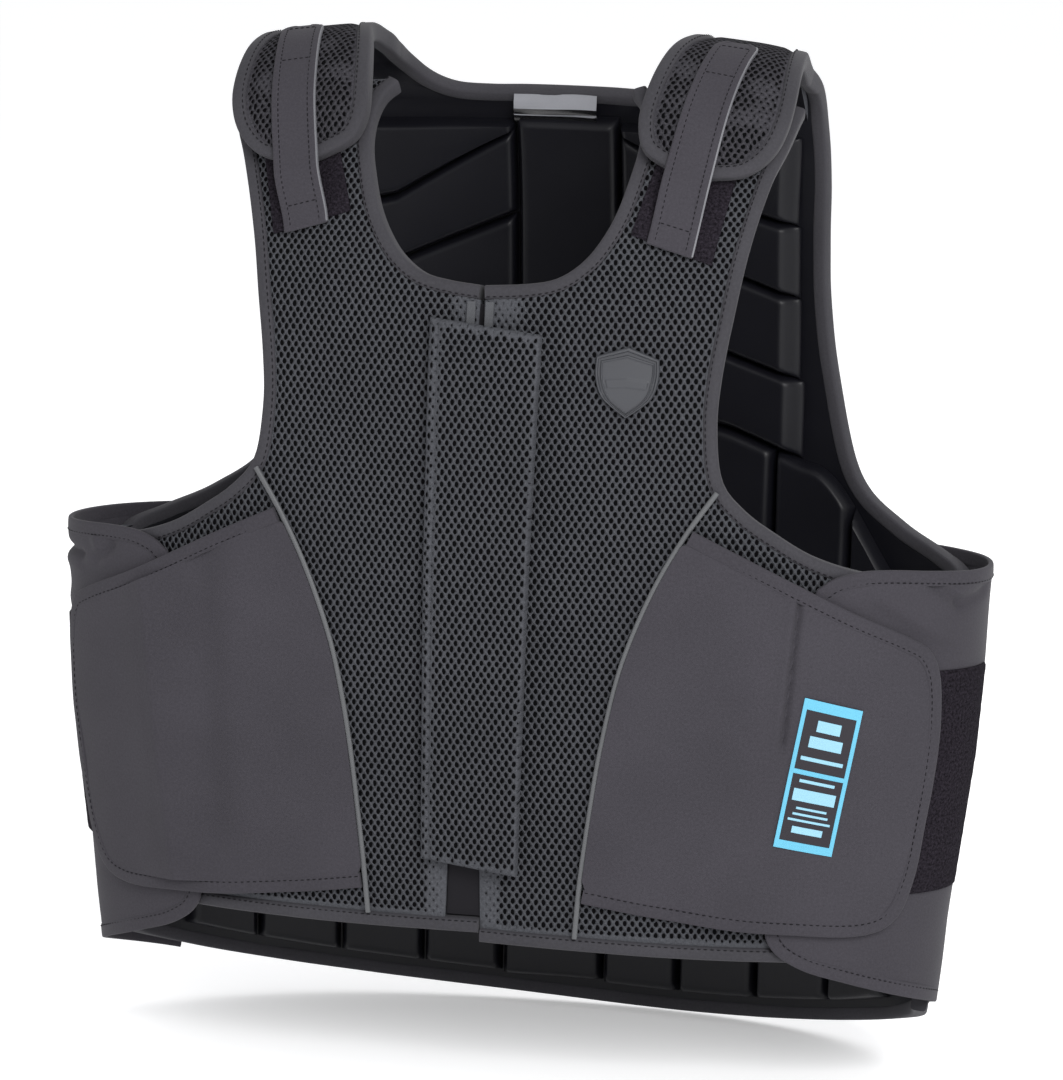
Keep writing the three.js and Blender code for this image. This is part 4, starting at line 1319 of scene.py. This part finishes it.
def front_placket():
    def at(w, v):
        return (mix(mix(-27.5, -31, v), mix(27, 32, v), w),
                mix(mix(-513, -214, v), mix(-518, -221, v), w))

    def lift(w, v, u, run):
        full = rim_round(w, v, 60, 305, 4.5)
        top, low = mix(7, 13.5, w), mix(1.9, 3.5, w)
        soft = 0.4 * ripple(u, run, 45, 7.7) + 0.15 * ripple(u, run, 19, 4.4)
        seam = 1.3 * np.exp(-(((w - 0.09) / 0.022) ** 2))
        return top - 3.4 * (1 - full) + soft - seam, low

    def pressed(w, v, u, run):
        seam = 0.7 * np.exp(-(((w - 0.09) / 0.03) ** 2)) + 0.8 * (1 - smooth(0.01, 0.04, w))
        ends = 1 - smooth(1.5, 5.5, np.minimum(v, 1 - v) * 305 + 1.2 * np.sin(w * 40))
        fuzz = 0.75 + 0.25 * ripple(u, run, 6, 3.3)
        return np.maximum(np.maximum(seam, 0.8 * smooth(0.972, 0.995, w)), 0.8 * ends) * fuzz

    piece = laid("front_placket", 60, 190, at, lift, "mesh", dense=0.35, pressed=pressed)


zip_underlap()
for word, side in SIDES.items():
    zip_tape(word, side)
front_placket()
print("placket laid")

# %% [markdown]
# Three marks are sewn on: a moulded rubber shield, a woven label and a satin loop at the neck. They keep
# their shapes and finishes, and carry plain bars where the real ones have words.

# %% Badge
badge_left = line([(78.5, -264), (66, -254), (61.5, -243), (61.5, -231)])
badge_right = line([(79.5, -264), (92, -254), (96, -243), (96, -232)])


def shield_badge():
    def at(w, v):
        left, right = badge_left(v), badge_right(v)
        u, run = mix(left, right, w)
        return u, run + 6 * v ** 3 * (1 - np.abs(2 * w - 1))

    def lift(w, v, u, run):
        narrow = np.hypot(*(badge_right(v) - badge_left(v)))
        near = from_rim(w, v, narrow, 36)
        outer_rim = smooth(0, 0.5, near) * (1 - smooth(1.3, 1.8, near))
        inner_rim = smooth(2.8, 3.2, near) * (1 - smooth(3.6, 4.0, near))
        band = smooth(0.55, 0.57, v) * (1 - smooth(0.66, 0.68, v)) * smooth(5.2, 5.6, near)
        return 1.2 + 1.3 * outer_rim + 0.8 * inner_rim + 0.5 * band, 0 * u + GAP

    laid("shield_badge", 96, 96, at, lift, "rubber", dense=0.1)


shield_badge()

# %% Woven label
LABEL_FRAME = [
    (0.0, 1.0, 0.93, 1.0), (0.0, 1.0, 0.0, 0.055), (0.0, 0.07, 0.055, 0.93), (0.93, 1.0, 0.055, 0.93),
    (0.07, 0.93, 0.505, 0.535),
]
LABEL_BARS = [
    (0.30, 0.70, 0.80, 0.875), (0.22, 0.78, 0.69, 0.765), (0.14, 0.86, 0.60, 0.625),
    (0.20, 0.80, 0.455, 0.475), (0.14, 0.86, 0.33, 0.41), (0.24, 0.76, 0.275, 0.29),
    (0.20, 0.80, 0.235, 0.25), (0.14, 0.86, 0.195, 0.21), (0.24, 0.76, 0.115, 0.16),
]
LABEL_HIGH = FLAP_HIGH + CLOTH


def on_label(w, v):
    return (mix(mix(165, 180, v), mix(196.5, 211.5, v), w),
            mix(mix(-495.5, -413, v), mix(-502, -421, v), w))


def label_layer(top, low):
    """The heights of one layer of the label, above the flap's cloth."""
    def lift(w, v, u, run):
        return LABEL_HIGH + top + 0.1 * ripple(u, run, 30, 2), 0 * u + LABEL_HIGH + low
    return lift


def woven_label():
    laid("woven_label", 24, 60, on_label, label_layer(0.9, 0.2), "label")
    threads = label_layer(1.15, 0.7)
    for name, boxes, finish in (("frame", LABEL_FRAME, "turquoise"), ("bars", LABEL_BARS, "pale_thread")):
        laid(f"woven_label_{name}", 4, 4, on_label, threads, finish, nodes=(), dense=0, boxes=boxes)


woven_label()

# %% Neck label
NECK_LOOP = line([
    (92, 9.4), (96.5, 12.8), (102.5, 14.8), (108.5, 15), (112.6, 13), (111.8, 10.7), (108, 9.6),
])


def neck_label():
    """A ribbon laid in a loop: its path is drawn from the side, as run and depth."""
    def part(name, start, end, finish, nodes):
        def at(w, v):
            run = NECK_LOOP(mix(start, end, v))[0]
            return mix(-31, 18, w), run + 0.5 * np.sin(w * 5) + 1.6 * w * np.sin(math.pi * v)

        def lift(w, v, u, run):
            depth = NECK_LOOP(mix(start, end, v))[1] - 1.2 * np.sin(math.pi * w) * (1 - v * 0.5)
            return -depth + 0.35, -depth

        laid(name, 30, 16, at, lift, finish, nodes=nodes, dense=0)

    part("neck_label", 0.0, 0.33, "silver", ("neck_label",))
    part("neck_label_fold", 0.33, 0.47, "black_satin", ())
    # A thin silver strip across the glossy black fold is a painted reflection.
    part("neck_label_painted_reflection", 0.47, 0.5, "silver", ())
    part("neck_label_end", 0.5, 1.0, "black_satin", ())


neck_label()
print("badge and labels laid")

# %% [markdown]
# The back is one foam panel in mesh, lined with dark satin.

# %% Back panel and its bindings
BACK_SIDE_SHARE = 5 / 15
BACK_STOPS = [(0, 0), (5 / 15, ARM_TAIL), (1, 1)]
arm_back_in = inset(arm_back, TUCKED)
back_side_end = arm_back_in(np.array([1.0])).ravel()


def back_low(u):
    return hem_back(u) - TUCKED


def back_panel():
    def at(w, v):
        side = np.where(w < 0.5, -1, 1)
        share = np.abs(2 * w - 1)
        top = NECK_BACK + TUCKED
        low_side = back_low(side * back_side_end[0])
        up = np.clip(v / BACK_SIDE_SHARE, 0, 1)
        side_low = np.stack([back_side_end[0] + 0 * v, mix(low_side, back_side_end[1], up)])
        stops = read(BACK_STOPS, 1 - np.clip((v - BACK_SIDE_SHARE) / (1 - BACK_SIDE_SHARE), 0, 1))
        side_u, side_run = np.where(v <= BACK_SIDE_SHARE, side_low, arm_back_in(stops))
        u = side * side_u * share
        even = mix(back_low(u), top, 1 - (1 - v) ** 1.25)
        blend = np.where(v < 0.001, 0, share ** 3)
        return u, mix(even, np.where(v > 0.999, top, side_run), blend)

    def lift(w, v, u, run):
        squeeze = 1 - rim_round(w, v, 500, 500, 8)
        return 0.3 * ripple(u, run, 90, 5.5) - 0.3 - squeeze, 0 * u - SLAB_THICK

    def pressed(w, v, u, run):
        return 1 - smooth(1.5, 4, from_rim(w, v, 540, 500))

    piece = laid("back_panel", 120, 110, at, lift, "mesh", "lining", dense=0.3, pressed=pressed)


def back_neck_path(t):
    u, run = neck_back(np.abs(2 * np.asarray(t, float) - 1))
    return np.stack([np.sign(2 * t - 1) * u, run])


def back_hem_path(t):
    u = mix(-back_side_end[0], back_side_end[0], np.asarray(t, float))
    return np.stack([u, hem_back(u)])


def back_neck_faces(u, run):
    return shoulder_faces(u, np.maximum(run, 40))


def back_arm_faces(u, run):
    over, flat = shoulder_faces(u, run), back_faces(u, run)
    return tuple(np.where(run < 60, a, b) for a, b in zip(over, flat))


back_panel()
back_rows = [
    taped("back_neck_binding", back_neck_path, 1, back_neck_faces, 90),
    taped("back_hem_binding", back_hem_path, -1, back_faces, 120),
]
for word, side in SIDES.items():
    arm = mirrored(arm_back_tape, side)
    back_rows.append(taped(f"back_armhole_binding_{word}", arm, side, back_arm_faces, 120))
sewn("back_stitches", back_rows)

# %% [markdown]
# Inside the back, foam blocks are sewn under the satin: a spine, slanting ribs beside it, and upright
# columns below. Each block is a crowned cushion, so the satin sinks into a groove between two of them.

# %% Foam blocks
GROOVE_HALF = 0.55
RIB_REACH = [141, 142, 143, 146]
COLUMN_EDGES = [SPINE_HALF, 79, 130, 182, 230]
BLOCK_RIM = 4.5
GROOVES = [
    [(0, 107), (1, 113)], [(0, 116), (0.6, 163), (1, 175)], [(0, 172), (0.6, 204), (1, 219)],
    [(0, 226), (0.6, 252), (1, 266)], [(0, 280), (0.6, 295), (1, 311)],
]


def groove_run(k, u):
    return read(GROOVES[k], (np.abs(u) - SPINE_HALF) / 120)


def column_top(u):
    return np.where(u < 152, groove_run(4, u), mix(311, 380, smooth(152, 230, u))) + GROOVE_HALF + 0.4


def foam_block(name, cols, rows, at, wide, high, seed, far=BLOCK_RIM):
    """far is how wide the slope is at the block's outer end, in millimetres."""
    base = -SLAB_THICK - PAD_GAP

    def lift(w, v, u, run):
        ends = rim_round(0.5 + 0 * w, v, wide, high, BLOCK_RIM)
        inner_side = rim_round(np.minimum(w, 0.5), 0.5, wide, high, BLOCK_RIM)
        slope = smooth(0, far, (1 - w) * wide) if far > BLOCK_RIM else rim_round(w, 0.5, wide, high, far)
        full = ends * inner_side * slope
        crown = 0.8 * (1 - (2 * w - 1) ** 2) * (1 - (2 * v - 1) ** 2)
        deep = (PAD_THICK - 0.8) * (0.12 + 0.88 * full) + crown
        return 0 * u + base, base - deep + 0.2 * ripple(u, run, 40, seed)

    piece = laid(name, cols, rows, at, lift, "lining", dense=0.75)


def spine_at(w, v):
    return mix(GROOVE_HALF - SPINE_HALF, SPINE_HALF - GROOVE_HALF, w), mix(628, 108, v)


foam_block("spine_pad", 24, 120, spine_at, 58, 516, 0.4)
for word, side in SIDES.items():
    for k, reach in enumerate(RIB_REACH):
        def rib_at(w, v, k=k, reach=reach, side=side):
            u = mix(SPINE_HALF + GROOVE_HALF, reach, w)
            high = np.maximum(groove_run(k, u), 112) + GROOVE_HALF
            return side * u, mix(groove_run(k + 1, u) - GROOVE_HALF, high, v)

        foam_block(f"rib_pad_{word}_{k + 1}", 48, 30, rib_at, 110, 50, k + side, far=10)
    for k in range(4):
        near, far = COLUMN_EDGES[k] + GROOVE_HALF, COLUMN_EDGES[k + 1] - GROOVE_HALF

        def column_at(w, v, near=near, far=far, side=side):
            u = mix(near, far, w)
            return side * u, mix(hem_back(side * u) - INSIDE - 4, column_top(u), v)

        foam_block(f"column_pad_{word}_{k + 1}", 24, 70, column_at, far - near, 300, 4 + k + side)
print("17 foam blocks")

# %% The end
bpy.context.view_layer.update()
